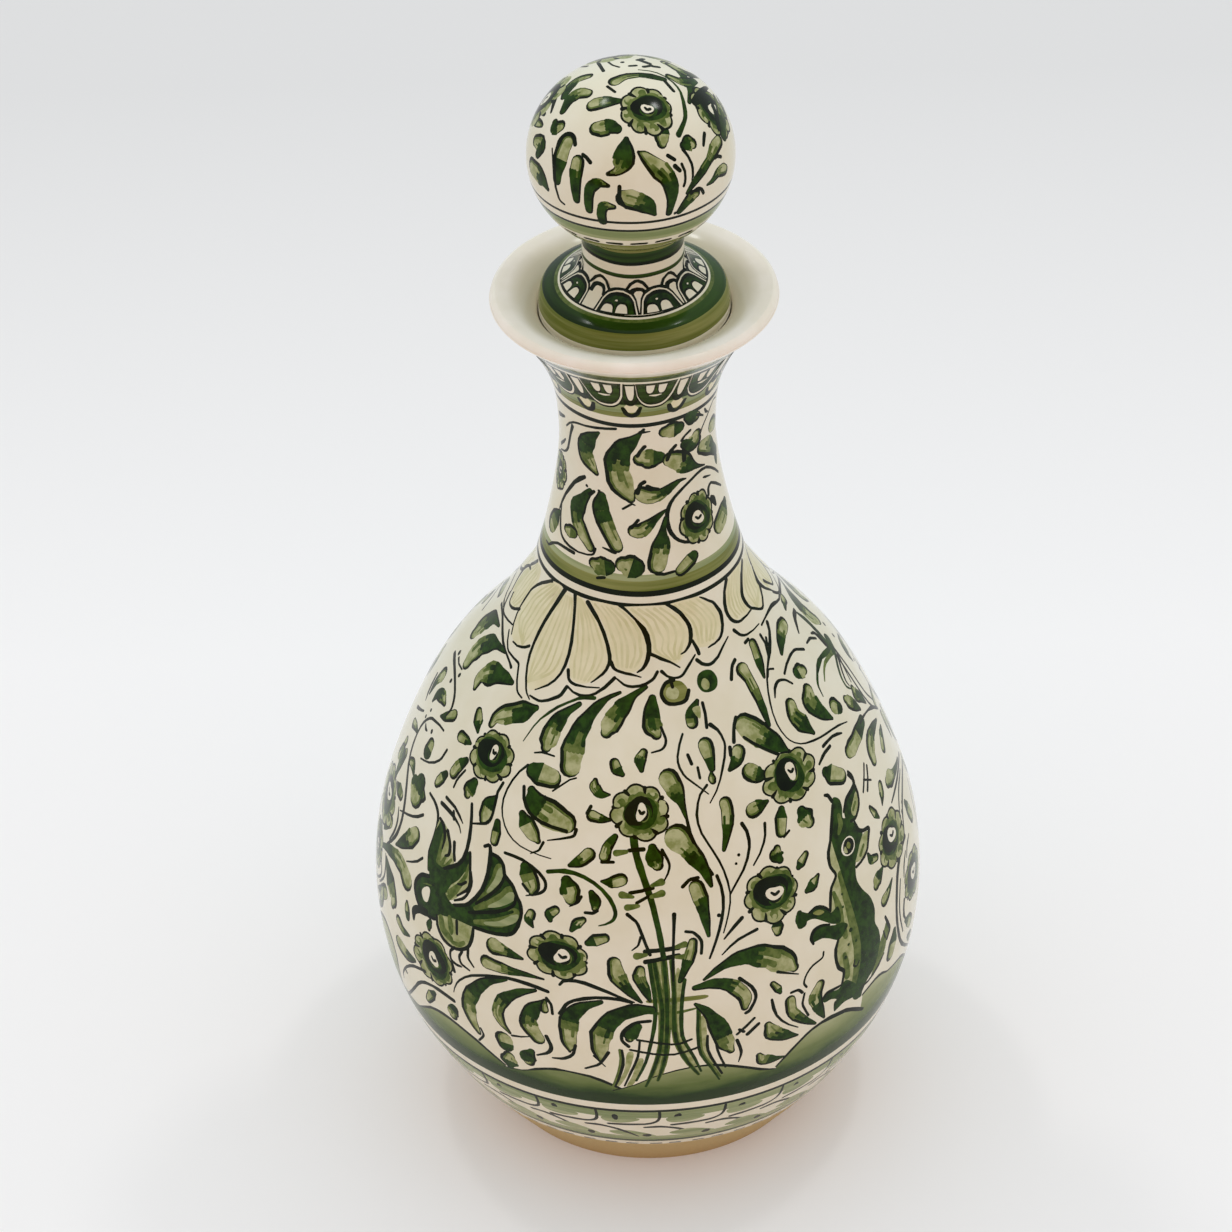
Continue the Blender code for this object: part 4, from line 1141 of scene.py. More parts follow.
body.paint("""
leaf .6 -80 89.7 .3 -85.5 90.4 1 -90 92.3 2.1 -92.5 95.5 2.5 -92 98 1.8
line -87 104 .25 -84 104.2 .2 -80 103.6 .15
leaf .6 -88 116.3 .4 -88.8 113 1.3 -88 110.5 1.8
line -92 113 .4 -90 116.5 .5 -88 118.5 .2
line -92 123.5 .4 -88 121.5 .3 -85 119.8 .2
leaf .5 -84.7 133 1.7 -87 133.7 2.2 -88.5 135 1.2
leaf .95 -87 154 .5 -84.5 153.8 1.2 -82.5 154.6 1.2
line -82 157.5 .2 -78.5 158.8 .35 -77.6 161.5 .35 -80 164.5 .3 -85 168 .15
rosette -94 -77 138.6 151 -89.8 -80 140.5 148.6 -87.5 -82.5 142 145.6
leaf .5 86 126.3 .3 82 125.3 .9 77.5 124.9 1.6 74 126.5 2 73 128.8 1.3
leaf .5 86.5 128.8 .4 83.5 129.5 1.2 81 131 1.3
leaf .5 86 89.3 .4 89 88.8 .9 92 88.8 1.2
leaf .6 85 120.3 .4 84 118 1.3 82.3 116 1.7 82.6 114.5 .9
stalk 89 105.5 .8 84 103.6 .6 80 102.4 .5 76 102.2 .45 72 102.9 .35 68.5 104.5 .25 67.2 107 .12
brush 88 106 .5 84 104.8 .4 80 104 .35 76 104.3 .25 72.5 105.5 .12
stalk 89 107 .5 84.5 108 .4 81.3 109.8 .35 80.3 112 .3 81.5 113.6 .15
line 89 108 .4 85 109.4 .3 82.3 111.3 .3 82 113 .15
line 90 108 .4 86.5 110.8 .25 84.5 113.5 .15
line 89 107 .4 86.8 112 .35 86 117 .3 87 122 .3 90 126 .2
line 91 107 .4 89 114 .3 89 120 .3 92 125 .2
stalk 93 104.5 1.1 90.5 106 1.2 88.5 106.4 .7
stalk 92 94 .4 92.8 97 .7 91.5 101 .7 89.5 104.5 .8
line 81 94.7 .2 84.5 93.4 .5 88 92.7 .6 92 93 .6
line 80 97.6 .2 84 98.3 .3 87 100.2 .3
line 87.2 98.6 .2 89.3 100 .5 88.5 103.5 .6
line 75.5 120 .25 80 120.5 .3 84 121.8 .35 88 124.1 .4 92 127.5 .3
leaf .5 88 139.8 .3 83 138.8 .7 79.5 138 1.2 76.8 137 1.9 75 136.7 1.4
line 73 141 .2 78 140.5 .35 86 140.5 .35 92 141.5 .25
line 74.5 146.3 .2 77 143.6 .3 80.5 141.9 .3 86 141.6 .2
line 74 151 .2 76.5 147 .35 80.5 144.5 .4 86 143.4 .4 92 144 .3
dot -89 103.7 .7
line -92 105.6 .45 -84 105.8 .4 -78 106.8 .35 -74 108.3 .35 -71.8 110.5 .35 -72.2 112.6 .25
""", (0.0,))

# %% [markdown]
# The bird stands left of the plant with its tail fanned up, and the hare sits right of it with its ears
# back. Both are common figures of country pottery, drawn with a few dark washes and open contours.

# %% Bird and hare
body.paint("""
line -64 129.2 .3 -61 129.7 .35 -58.6 131.2 .4 -57.4 134 .45 -57.4 138 .45 -57.5 141 .45 -56.3 144.5 .45
light -57.2 132 -54 132.4 -52 134 -50.5 136.5 -49 138.3 -50 140.5 -53 142.5 -56 142.5 -57.3 138
stalk -56.3 132.4 .5 -55.9 135 1.3 -55.9 139 1.5 -54.8 143 2.2
brush -54.5 134.5 .35 -54.2 137 .45 -54 141 .6
brush -51.9 138.5 .3 -52.5 140.5 .5 -53 142.5 .7
brush -50 138.5 .3 -51 140.5 .4 -52.5 142.5 .6
line -57.2 131.8 .35 -55.7 132.3 .45 -54.4 133.6 .4 -53.7 135.3 .35 -53.7 137.6 .2
line -53.5 133 .45 -52.3 134.3 .4 -51.3 136 .4 -51.2 137.8 .35 -52.2 138.6 .2
line -50.4 134.3 .4 -49.8 136.3 .4 -49 138 .4
light -45 135.5 -44 138.5 -43.5 141 -44.3 143.5 -46 146 -47.5 147.5 -49.8 148 -50 145 -48 142.5
     -46.3 139.5
stalk -45.3 134.7 .5 -45.8 137 1.2 -47.5 140 1.5 -49.5 142 1.9 -51.5 144.5 2.6
brush -44.6 137 .2 -44.8 140 .4 -46.5 143.5 .5 -48.5 146 .6
brush -45.4 142.5 .3 -47 145.5 .5 -48.5 147.5 .6
line -48.5 123.7 .35 -47.2 127 .4 -46.3 131 .45 -46.2 134.5 .45 -47 137.5 .4 -49 139.6 .4 -51.5 141.5 .3
line -45 134.2 .35 -44.3 136.5 .35 -43.8 138.3 .3 -43.2 141 .3 -43.7 143 .3 -46 145.5 .2
line -43.7 138.3 .4 -42.8 140.5 .35 -43 143 .3 -44.2 145.3 .3 -46.5 147 .2
line -44.3 141.2 .3 -45.3 142.3 .3 -46.5 142.8 .15
dark -39 131.9 -37 132 -35.3 133.2 -34.4 135.3 -32 137 -30.7 139 -29.5 140.4 -28.9 142 -28.9 143.8
     -29.4 146
     -30.4 148 -33 149.4 -39 150.6 -46 151 -50 150 -46 148.3 -43 146.5 -40.8 143.5 -39.3 140 -38.8 136
brush -36.1 134.4 1.1 -36.5 137 1.2 -37.8 140.3 .9 -40 143.6 .4
brush -32.2 139 1.5 -34.2 141 1.4 -37 143.2 .9 -40.5 146 .4
brush -30.4 143.3 1.1 -32 145.2 1.3 -35 147.2 .9 -40 149.2 .4
pale -35.2 134 -34.9 136.5 -36.3 139 -37.8 141 -38.3 140.5 -37 137.5 -36.3 134.5
pale -31.3 138.6 -31.2 140.4 -34 142.8 -37 144.3 -37 143.6 -34.5 141.3 -32.8 139
pale -29.5 143.3 -30 145.3 -33 147.3 -37 148.6 -37.5 148 -34 146.4 -31.3 144
stalk -37.8 133.5 .25 -38.1 137 .3 -39.2 141 .3
stalk -33.8 137.5 .25 -35.5 140 .3 -38.5 143 .3
stalk -31 143 .25 -34 145 .3 -38 147.3 .3
line -35.3 133.3 .3 -34.5 135.6 .3 -35.3 138.5 .35 -37.5 141.5 .35 -40.5 144.8 .3
line -30.8 139 .25 -30.9 141.2 .3 -33 143.3 .35 -36.5 145.2 .35 -42 147.7 .3
line -41.4 131 .3 -40 130.3 .4 -39.2 132.5 .5 -38.9 136 .45 -39.3 140 .45 -40.7 143.3 .45 -43 146.3
     .4 -46.5 148.2 .3
line -39 131.8 .35 -37 132 .4 -35.3 133.2 .4 -34.4 135.3 .4 -32 137 .4 -30.7 139 .4 -29.5 140.4 .35
     -28.9 142.2 .4
     -28.9 144 .35 -29.5 146.5 .4 -31 148.6 .4 -35 149.9 .35 -40 150.6 .35
dark -56.8 143 -53 141.6 -51.3 142.5 -50 145 -49 147.3 -46 148.4 -42 149.3 -42 151 -46 151.7 -50
     153.7 -52 154.8
     -55.5 155.3 -58 154.2 -59.7 152 -59.9 149.6 -58.3 147.2 -55.7 146
line -55.7 146 .4 -58.2 147.2 .45 -59.7 149.6 .45 -59.5 152 .45 -57.7 154.3 .4 -55 155.3 .35 -52 155
     .3 -50 153.8 .25
cream -56.8 149.9 -55.3 148.5 -54.3 149.1 -54.5 152 -55.8 152.4 -56.9 151.2
mid -57.3 148.9 -55.8 147.9 -54.2 147.4 -54.4 147.8 -56 148.4
line -54.5 154.9 .8 -57 155.7 .9 -58.7 157.3 .8 -58.6 159.4 .4
light -50.8 153.5 -50 156 -48 158 -45.5 158.6 -43 158 -41 156 -40.2 153.5 -40.3 151 -44 151 -48 152
brush -49.5 153.3 .7 -48.5 155.6 .9 -46 156.8 .7
brush -47 151.8 .6 -46.3 153.8 .8 -46 155.2 .4
brush -42.3 155.8 .4 -43.5 157 .5 -45.5 157.4 .4
line -44.9 151.5 .4 -44.4 154.5 .3
line -50.9 153.5 .3 -50.3 155.8 .4 -48.3 158 .4 -45.5 158.7 .35 -43 158 .35 -41 156.2 .4 -40.2 153.6
     .4 -40.2 151 .35
line -44.7 158.4 .3 -45.8 160 .3 -45.5 162 .3 -44 162.6 .3 -42.5 162.4 .2
line -45.3 162.8 .4 -44.5 164.8 .4
line -42.5 158.2 .3 -43.2 160 .3 -42.5 161.6 .3 -40.3 162.2 .2
line -41 156.6 .35 -40.8 159 .3 -39.2 160.7 .2
light 46.8 134.2 45 137 44.8 140 45.8 142.2 43.8 144.2 42.8 146.3 42 150 43 155 42.6 157.8 41.8 160
     41.7 162.5
      42.4 165.2 43.6 167 43.2 171 48.5 173 49 160 48 150 47.5 142 48 137
brush 47 143 .8 47 150 .9 47.7 157 1.2 48.3 163 1.4 47.8 169 1.3 46.5 174 1
brush 43.8 146 .4 44.3 150 .9 44 154 1.1 45 158 .6
brush 44 162.5 .5 44.5 165.5 .8 44.6 169 .7
dark 47.2 134 49 130 51 127 52.2 126 53.8 127.3 53.8 129.3 52.8 131.5 54 132.4 55.5 134.2 56.4 136.8
     57.5 138
     56.5 139.8 54 141.3 52.6 142.8 51.8 144.3 51.3 147 52.3 150 54.2 153.3 55 157 54.5 160.5 55.6 163.5
     55.8 167.5
     54 172.5 51 175 48.8 178.6 46.5 176.8 47.7 172 49 166 49 160 48.2 153 47.5 146 47.2 140
dark 54 130.5 56 128.8 59 128 60.5 127.6 61 129.2 60.3 131.2 59 133 57 134 55 133.7 53.6 132.4
light 56.3 131.8 58.5 130 60.4 129.2 60 131.3 58.3 133.1 56.6 133.4
brush 57 132 .3 58.7 131 .3
line 49.7 124.2 .3 50.7 124.8 .4 51.3 126.5 .4
line 53.8 130.6 .3 56 128.7 .4 59 128 .4 60.8 127.4 .5 61.2 125.6 .4 60.5 124 .3
line 60.9 128 .35 60.8 130 .35 59.6 132.3 .3 57 134 .3 55 133.8 .3
brush 51.8 130.5 .5 51.5 132.5 .6 50 134 .4
light 55.5 139.9 57.5 138.7 59.5 139.2 58 141 57 142.5 54 143.4 52.4 142.9 53.6 141.7
brush 56.5 141 .3 54.5 142.4 .4
line 56 134.5 .3 56.4 136.8 .4 57.8 138 .4 60.1 138.8 .4 58.7 140.8 .35 57.3 142.6 .3 55 143.7 .3
     52.2 144.1 .3
line 51 127.4 .3 48.8 130.8 .4 47 134 .35 45.2 136.6 .4 44.7 139.6 .35 45.6 142.4 .3 43.6 144.4 .35
     42.6 146.8 .4
     41.9 149.6 .3
oval 51.6 138.3 2.35 2.2
pupil 51.7 138.3 2 1.8
light 49.8 138.9 50.6 137.8 50.9 139.5
olive 51 138.2 51.8 137.3 52.5 138.2 51.8 139
dark 33 146.5 34.5 146.1 36.3 147.2 38.3 146.8 40.5 148 42 150 44.2 149.6 44.2 153.5 42 153 40 151.3
     37.5 149.3
     35.5 149 34.5 150 33 149.6
olive 37.3 147.8 39 147.7 40.3 148.9 38.8 149
dark 35.9 154.7 36.1 152.7 37.8 151.8 40 152.4 42.5 153.5 44.5 154 46 155.5 44.5 157 42.8 157.7 40.5
     156 38.5 154.9
line 36.4 147.3 .25 38.3 146.8 .3 40.3 147.7 .3 41.7 149.3 .25
line 36.2 155.1 .3 35.8 153.6 .35 36.8 152 .4 38.7 151.7 .3 41 152.6 .2
line 42.8 157.5 .3 41.8 159.6 .4 41.6 162.3 .4 42.2 165 .4 43.6 167 .4 43 170.3 .3
mark 46.6 157.3 .6 45.5 160.6 .4 47.8 161 .4 44.3 163.5 .5 45.5 150.5 .35 46 147.5 .3
line 47 166 .15 46.6 167.3 .2 47.6 168 .2 48.3 167 .15
mid 55.8 167.2 57.5 165 59 163.3 60 166.5 58.5 168.5 57.5 171 55 173.7 52.5 174.7 54.5 171
line 58.4 161.9 .3 58.8 163.2 .4 59.9 166.3 .4 58.6 168.4 .3
line 57.3 165.2 .2 57.9 167.5 .25
line 49.2 175.8 .2 52 175.4 .3 55 173.8 .35 57.3 171.6 .2
dark 37.7 171.6 39 170.3 42 171 44 169.8 46 171.5 48 174 49.5 176 49.6 178.3 48.8 178.6 47 177 44
     176.3 42 177
     41 177.2 40.8 174.5 41.5 173.8 40 172.8 38.2 172.7
line 37.6 171.3 .35 38.8 170.2 .4 40.8 170.3 .35 42.8 170.4 .25
""")

# %% [markdown]
# The ball's top is read from above, in millimetres right of and towards the viewer from its middle; its
# sides are read like the wall, and so are the rings and arches of the flange.

# %% Stopper painting
head.from_above = True
head.turns = (0.0,)
head.paint("""
line -10.5 -9 .3 -9 -6.3 .3
pen .3 -6.8 -8 -6.3 -5 -5.3 -.7
pen .2 -4.5 -9 -4.5 -6 -3.5 -3 -2 -1.5
dot -1.3 -3.8 .5
pen .35 .2 -1.8 1.5 -2
pen .5 2 -5 3 -6
pen .5 2.3 -5 3.5 -4 4.3 -3.5
pen .4 3.2 -1.6 4 -2 4.8 -2.7
pen .4 5 -2.3 6.3 -2.5
stalk 2 -.2 .1 6 .3 .15 9 2 .2 11 4.5 .25 12 8 .4 12.5 11 .45 12 13.5 .4 11.2 15.8 .6
leaf .6 7.3 2.2 .7 3 1.8 .8 -.5 2.3 .9 -3 3.7 1.4
pen .35 7.6 2.8 9.5 5.2
pen .25 -4.6 5 -3 7
leaf .75 13.2 6.8 .4 13.6 3 .8 12.3 -1 1 10.5 -5 1 8 -6.3 1.2
""")
head.turns = (0.0, 180.0)
head.paint("""
leaf .5 -14.5 2.8 .9 -13 .3 1.4 -11 -.9 1.2 -8.5 -.4 .8
leaf .5 -15 7 .9 -13 4.9 1.5 -10.8 4.6 1.4 -9 5.6 1.2
leaf .5 -1.5 9.6 .5 -4 9.4 1 -7 9.2 1.6 -8 9.3 1.4
leaf .5 7 16 1.5 7.2 17.6 1.8 7.3 18.6 1.2
leaf .6 12.7 17.8 .8 14 16.6 1.6 15 16.3 1.2
pen .2 12.5 18.7 15 20 16.5 22 17 24
pen .3 18 12.3 18.2 15
line -14.5 -6 .8 -15.8 -3 1 -16.5 0 .7 -18.3 4.8 .3
line -22 -8 .5 -20 -3 .6 -18.2 0 .2
leaf .55 -24 -8 1.2 -22 -2 1.2 -20.3 3.5 .4
leaf .5 -24 1 .8 -22.5 4 1 -21.5 6 .4
dot -22.8 9.8 1.5
rosette -2 9.4 6 17.4 .3 8.2 8 14.3 2.5 5 10.3 12.6
rosette 13.8 26.3 -2.5 10.2 15.6 24.4 -.7 8.2 18.2 21.8 1.7 5.2
""")
head.from_above = False
head.paint("""
leaf .5 -10.5 16.3 .9 -16 16 1.4 -22 16.6 1.8 -27 16.9 1.4
leaf .55 -3 18.4 .5 -3.5 20.5 1.7 -4.5 23 1.9 -8 25 1 -13.5 25.8 .4
leaf .6 -45.2 30 1 -46 27 1.5 -46.3 24 1.8 -45.8 21.6 1.6
line -38.5 21.3 .4 -41 20 .35 -45 19.6 .3 -49 20.3 .35 -51.5 22 .35 -51 24 .35 -49.5 26.5 .3 -47
     29.5 .3 -45.5 32 .25
     -43 34.3 .25 -39.7 35 .2
pen .15 -54.5 24.3 -51 26.5 -48 29
leaf .68 -31.3 32.8 .8 -32.3 29.5 1.1 -33 26.5 1.5 -33 24.6 1.3
pen .35 -25 24 -28 23.2 -31 22.8
leaf .8 -23.8 34.6 .7 -24 31.8 1 -23 29.3 1.1 -18.5 28 .9 -13 28.3 .4
leaf .7 -16.5 37 .8 -16.8 34.8 1 -15 33 1 -10 33 .5
leaf .5 12.3 35.2 .4 9 33.4 1.4 5 32.2 1.9 0 31.3 2.1 -4 30.9 1.6
pen .35 -6.7 28.3 -6.8 30.5 -4.5 32.5
leaf .45 -66 27.6 .9 -64.5 25.5 1.3 -69 25.3 1.7 -73.5 25.8 1.2
leaf .5 -52.5 33.2 .6 -57 31.9 1.5 -63 31.3 2 -70 31.3 1.9
leaf .6 -64 19.6 .7 -60.5 20.3 1.4 -57 19.3 1.2
leaf .5 20.3 35.5 .6 22.3 31 1.2 20.7 27.5 1.7 15 24.7 1.7 9 22.3 1.1 5 21.2 .3
leaf .6 31.3 31.8 .3 37 30 .8 44 28.4 .9 51 27 1 58 25.7 1.4 64 25.3 1.4
pen .3 55 27.5 58 27.6 61 28.3
leaf .5 45.5 32 .25 50 31.8 .6 55 31 .9 60 31.2 1.4 62.5 31.7 1.2
leaf .65 26.5 35.8 .6 30 34.3 1 34 33 1.2 37.5 32.8 .8
pen .3 34 32.3 38 31.7 41 32.3 42.5 33.5
dot 24 35.9 .4
pen .35 23.3 22.8 27 24
pen .4 26.3 25.3 28.8 26.5
pen .25 30.8 25.3 31.8 27 31 29 29.7 30
pen .25 34 22 36.5 24.5 37.3 26.5 36.3 28.7
pen .3 50 23.7 52.5 22.5 55.3 21.7
""")
flange_dashes, dash_step = 22, 16.36
for i in range(flange_dashes):
    c = dash_step * i + hand.uniform(-0.8, 0.8)
    head.draw("ink", [(c, 45.0, 0.4), (c + 8.5, 45.0, 0.45)])
flange_arches = [-65.0, -15.0, 23.0, 62.0, 100.5, 139.4, 178.3, 217.2, 256.1]
for c, following in zip(flange_arches, flange_arches[1:] + [295.0]):
    c = (c + following) / 2 + hand.uniform(-0.8, 0.8)
    head.draw("ink", [(c - 12.5, 64.8, 0.25), (c - 7.5, 63.2, 0.3), (c, 62.4, 0.3),
                      (c + 7.0, 63.1, 0.3), (c + 12.5, 64.8, 0.25)])
    arch(head, "ink", c, 10.0, 66.5, 63.9)
    arch(head, "cream", c + 1.0, 5.5, 66.5, 64.8)
for c in flange_arches:
    arch(head, "ink", c, 19.2, 70.1, 64.0 + hand.uniform(-0.1, 0.1))
    arch(head, "cream", c, 17.6, 70.1, 64.75)
    arch(head, "ink", c, 16.4, 70.1, 65.1)
    arch(head, "dark", c + 0.6, 14.0, 70.1, 65.9)
    for shift, top in ((-8.0, 68.0), (4.2, 67.7)):
        arch(head, "ink", c + shift, 6.1, 70.1, top - 0.5)
        arch(head, "cream", c + shift, 4.9, 69.8, top)
    head.oval("cream", c - 1.8, 67.0, 0.3, 0.2)
print("stopper:", len(head.faces), "faces")

# %% [markdown]
# A triangulation that respects given lines cuts every stroke into the plain surface at once. The ground
# goes in first, as rings round the piece; a face that no stroke covers takes the colour of its band, and
# a face under several strokes takes the last one. But that cut also keeps every outline that a later
# stroke hides, which makes about three times the faces needed. So a second cut takes only the lines at
# which the colour changes, freed of needless corners, and each of its faces looks up its colour in the
# first cut. The flat result is then wrapped back onto the outline. The surface normals come from the
# outline too, so that the highlights run on smoothly through all the small faces.

# %% Cut a painting into its piece
border_tolerance = 0.03   # how far in mm a colour's border may move when it is freed of corners


def ring_wave(across, along):
    """How far a ring drawn freehand on the wheel strays, in mm."""
    angle = np.radians(across)
    return 0.13 * np.sin(2 * angle + along / 9) + 0.08 * np.sin(5 * angle - along / 6)


def slot_of(along, bands):
    """The ground's slot at this distance: each band is (where it ends, its slot)."""
    for limit, slot in bands:
        if along < limit:
            return slot
    return bands[-1][1]


def thinned(line, tolerance):
    """The corners, by number, that a line needs to stay this near to where it ran."""
    kept, spans = {0, len(line) - 1}, [(0, len(line) - 1)]
    while spans:
        first, last = spans.pop()
        if last - first < 2:
            continue
        chord = line[last] - line[first]
        steps = line[first + 1:last] - line[first]
        share = np.clip(steps @ chord / max(chord @ chord, 1e-12), 0.0, 1.0)
        away = np.hypot(*(steps - share[:, None] * chord).T)
        if away.max() > tolerance:
            middle = first + 1 + int(away.argmax())
            kept.add(middle)
            spans += [(first, middle), (middle, last)]
    return sorted(kept)


def colour_borders(faces, slots):
    """The lines at which the colour changes, each a list of corners from one fork to the next or a loop."""
    ends = np.sort(np.concatenate([faces[:, [0, 1]], faces[:, [1, 2]], faces[:, [2, 0]]]), axis=1)
    order = np.lexsort(ends.T)
    ends, sides = ends[order], np.tile(np.unique(slots, return_inverse=True)[1], 3)[order]
    changes = (ends[1:] == ends[:-1]).all(axis=1) & (sides[1:] != sides[:-1])
    near = {}
    for i, j in ends[1:][changes].tolist():
        near.setdefault(i, []).append(j)
        near.setdefault(j, []).append(i)
    lines, walked = [], set()
    for i in [i for i in near if len(near[i]) != 2] + list(near):
        for j in near[i]:
            if (i, j) not in walked:
                line = [i, j]
                while len(near[line[-1]]) == 2 and line[-1] != i:
                    one, other = near[line[-1]]
                    line.append(other if one == line[-2] else one)
                walked.update(zip(line, line[1:]))
                walked.update(zip(line[1:], line))
                lines.append(line)
    return lines


class TurnedMesh:
    """Corners by angle and distance along the outline, the faces between them and each face's slot."""

    steady_to = 6.0                          # rings before this distance are drawn without a wave, in mm
    painted_turn, painted_reach = 4.0, 2.8   # a plain ring for so many degrees of turn or mm of wall
    clear_of_bands = 0.5                     # plain rings keep this far from a band's limit, in mm
    axis_radius = 0.01                       # a corner within this of the axis is on it, in mm
    normal_shift = 0.04                      # normals are read this far in from a face's corners, in mm
    map_edge, map_across, map_along = 0.005, 0.98, 0.99

    def __init__(self, painting, around):
        self.painting = painting
        self.profile = painting.profile
        self.around = around
        self.angles = np.arange(around) * 360.0 / around - 180.0
        self.across, self.along, self.faces, self.slots = [], [], [], []

    def ring_edges(self, first):
        """The edges round a ring whose corners begin at this number."""
        return [(first + j, first + (j + 1) % self.around) for j in range(self.around)]

    def cut_strokes(self, start, end, bands, limits, fillers):
        """The first cut, along every stroke: its flat corners, its faces and the slot seen on each face."""
        painting = self.painting
        points, edges = [], []
        for s in sorted([start] * (start > 0) + limits + fillers + [end]):
            wave = 0.0 if s in (start, end) or s < self.steady_to else ring_wave(self.angles, s)
            edges.extend(self.ring_edges(len(points)))
            points.extend(painting.place(self.angles, s + wave).tolist())
        shift = len(points)
        strokes = [[i + shift for i in face] for face in painting.faces]
        cut = delaunay_2d_cdt([Vector(p) for p in points + painting.points], edges, strokes, 0, 1e-5, True)
        flat, faces = np.array([tuple(p) for p in cut[0]]), cut[2]
        seen = []
        for face, covers in zip(faces, cut[5]):
            x, y = flat[face].mean(axis=0)
            s = math.hypot(x, y) - painting.hub
            bare = slot_of(s - ring_wave(math.degrees(math.atan2(x, -y)), s), bands)
            seen.append("" if s < start else painting.slots[max(covers)] if covers else bare)
        return flat, faces, seen

    def inlay(self, start, end, bands):
        """The painted stretch, cut twice. Returns its first and last ring of corners."""
        painting = self.painting
        painting.from_above = False
        limits = [limit for limit, _ in bands if start < limit < end]
        fillers = [s for s in self.profile.rings(start, end, self.painted_turn, self.painted_reach)[1:-1]
                   if min(abs(s - limit) for limit in limits) > self.clear_of_bands]
        flat, faces, seen = self.cut_strokes(start, end, bands, limits, fillers)
        under = BVHTree.FromPolygons([(x, y, 0.0) for x, y in flat.tolist()], faces)

        # the second cut starts from the plain rings, of which only the two ends have to stay whole
        points = []
        for s in [start] * (start > 0) + fillers + [end]:
            points.extend(painting.place(self.angles, np.full(self.around, s)).tolist())
        last_first = len(points) - self.around
        edges = (self.ring_edges(0) if start > 0 else []) + self.ring_edges(last_first)
        if start == 0:
            points.append([0.0, 0.0])
        for line in colour_borders(np.array(faces), seen):
            kept = thinned(flat[line], border_tolerance)
            if line[0] != line[-1] or len(kept) > 3:
                first = len(points)
                points.extend(flat[[line[k] for k in kept]].tolist())
                edges.extend([(k, k + 1) for k in range(first, len(points) - 1)])
        cut = delaunay_2d_cdt([Vector(p) for p in points], edges, [], 0, 1e-4, True)
        flat = np.array([tuple(p) for p in cut[0]])
        self.across = np.degrees(np.arctan2(flat[:, 0], -flat[:, 1])).tolist()
        self.along = (np.hypot(*flat.T) - painting.hub).tolist()
        new_index = {old: new for new, olds in enumerate(cut[3]) for old in olds}
        for face in cut[2]:
            x, y = flat[face].mean(axis=0)
            slot = seen[under.find_nearest((x, y, 0.0))[2]]
            if slot:
                self.faces.append(tuple(face))
                self.slots.append(slot)
        for s, first in ((start, 0), (end, last_first)):
            for j in range(self.around):
                self.along[new_index[first + j]] = s if s else self.along[new_index[first + j]]
        return ([new_index[j] for j in range(self.around)],
                [new_index[last_first + j] for j in range(self.around)])

    def ring(self, s):
        """A new ring of corners, or one corner where the outline meets the axis."""
        first = len(self.across)
        if self.profile.at(s)[0] < self.axis_radius:
            self.across.append(0.0)
            self.along.append(s)
            return [first] * self.around
        self.across.extend(self.angles.tolist())
        self.along.extend([s] * self.around)
        return list(range(first, first + self.around))

    def turned(self, distances, rows, slot_at):
        """Plain faces from each ring to the next."""
        for i in range(len(rows) - 1):
            upper, lower = rows[i], rows[i + 1]
            for j in range(self.around):
                k = (j + 1) % self.around
                self.faces.append(tuple(dict.fromkeys((upper[j], lower[j], lower[k], upper[k]))))
                self.slots.append(slot_at((distances[i] + distances[i + 1]) / 2))

    def build(self, name, materials):
        """The finished object, with normals and a bake map taken from the outline."""
        across, along = np.array(self.across), np.array(self.along)
        radius, height = self.profile.at(along)
        angle = np.radians(across)
        corners = np.stack([radius * np.sin(angle), -radius * np.cos(angle), height], axis=1) * MM
        mesh = bpy.data.meshes.new(name)
        mesh.from_pydata(corners.tolist(), [], self.faces)
        names = sorted(set(self.slots))
        for slot in names:
            mesh.materials.append(materials[slot])
        mesh.polygons.foreach_set("material_index", [names.index(slot) for slot in self.slots])
        mesh.polygons.foreach_set("use_smooth", [True] * len(self.faces))
        sizes = np.array([len(face) for face in self.faces])
        loops = np.concatenate([np.array(face) for face in self.faces])
        owner = np.repeat(np.arange(len(sizes)), sizes)
        middle = np.bincount(owner, along[loops]) / sizes
        s = along[loops] + np.clip(middle[owner] - along[loops], -self.normal_shift, self.normal_shift)
        n_r, n_z = self.profile.normal(s)
        normals = np.stack([n_r * np.sin(angle[loops]), -n_r * np.cos(angle[loops]), n_z], axis=1)

        # a face across the back's seam keeps its corners side by side in the map
        a = across[loops]
        on_axis = radius[loops] < self.axis_radius
        face_starts = np.r_[0, np.cumsum(sizes)[:-1]]
        widest = np.maximum.reduceat(np.where(on_axis, -np.inf, a), face_starts)
        narrowest = np.minimum.reduceat(np.where(on_axis, np.inf, a), face_starts)
        a = np.where((widest - narrowest > 180.0)[owner] & (a < 0), a + 360.0, a)
        total = np.bincount(owner, np.where(on_axis, 0.0, a)) / np.maximum(np.bincount(owner, ~on_axis), 1)
        a = np.where(on_axis, total[owner], a)
        share = (along[loops] - self.profile.s[0]) / (self.profile.s[-1] - self.profile.s[0])
        bake_map = mesh.uv_layers.new(name="OFBake")
        bake_map.data.foreach_set("uv", np.stack([
            self.map_edge + self.map_across * (a + 180.0) / 360.0, self.map_edge + self.map_along * share,
        ], axis=1).ravel())
        mesh.normals_split_custom_set(normals.tolist())
        piece = bpy.data.objects.new(name, mesh)
        bpy.context.scene.collection.objects.link(piece)
        print(name, len(self.faces), "faces,", len(names), "glazes")
        return piece


# %% [markdown]
# Tin glaze is a white, opaque glass, fired on a buff clay; the green comes from copper painted into it
# raw, thick where the brush sets off and thin where it runs dry. So one function mixes every colour on
# the pot from a thin and a pooled tone, in soft blotches, under one shared gloss with the faint ripple of
# a dipped glaze.

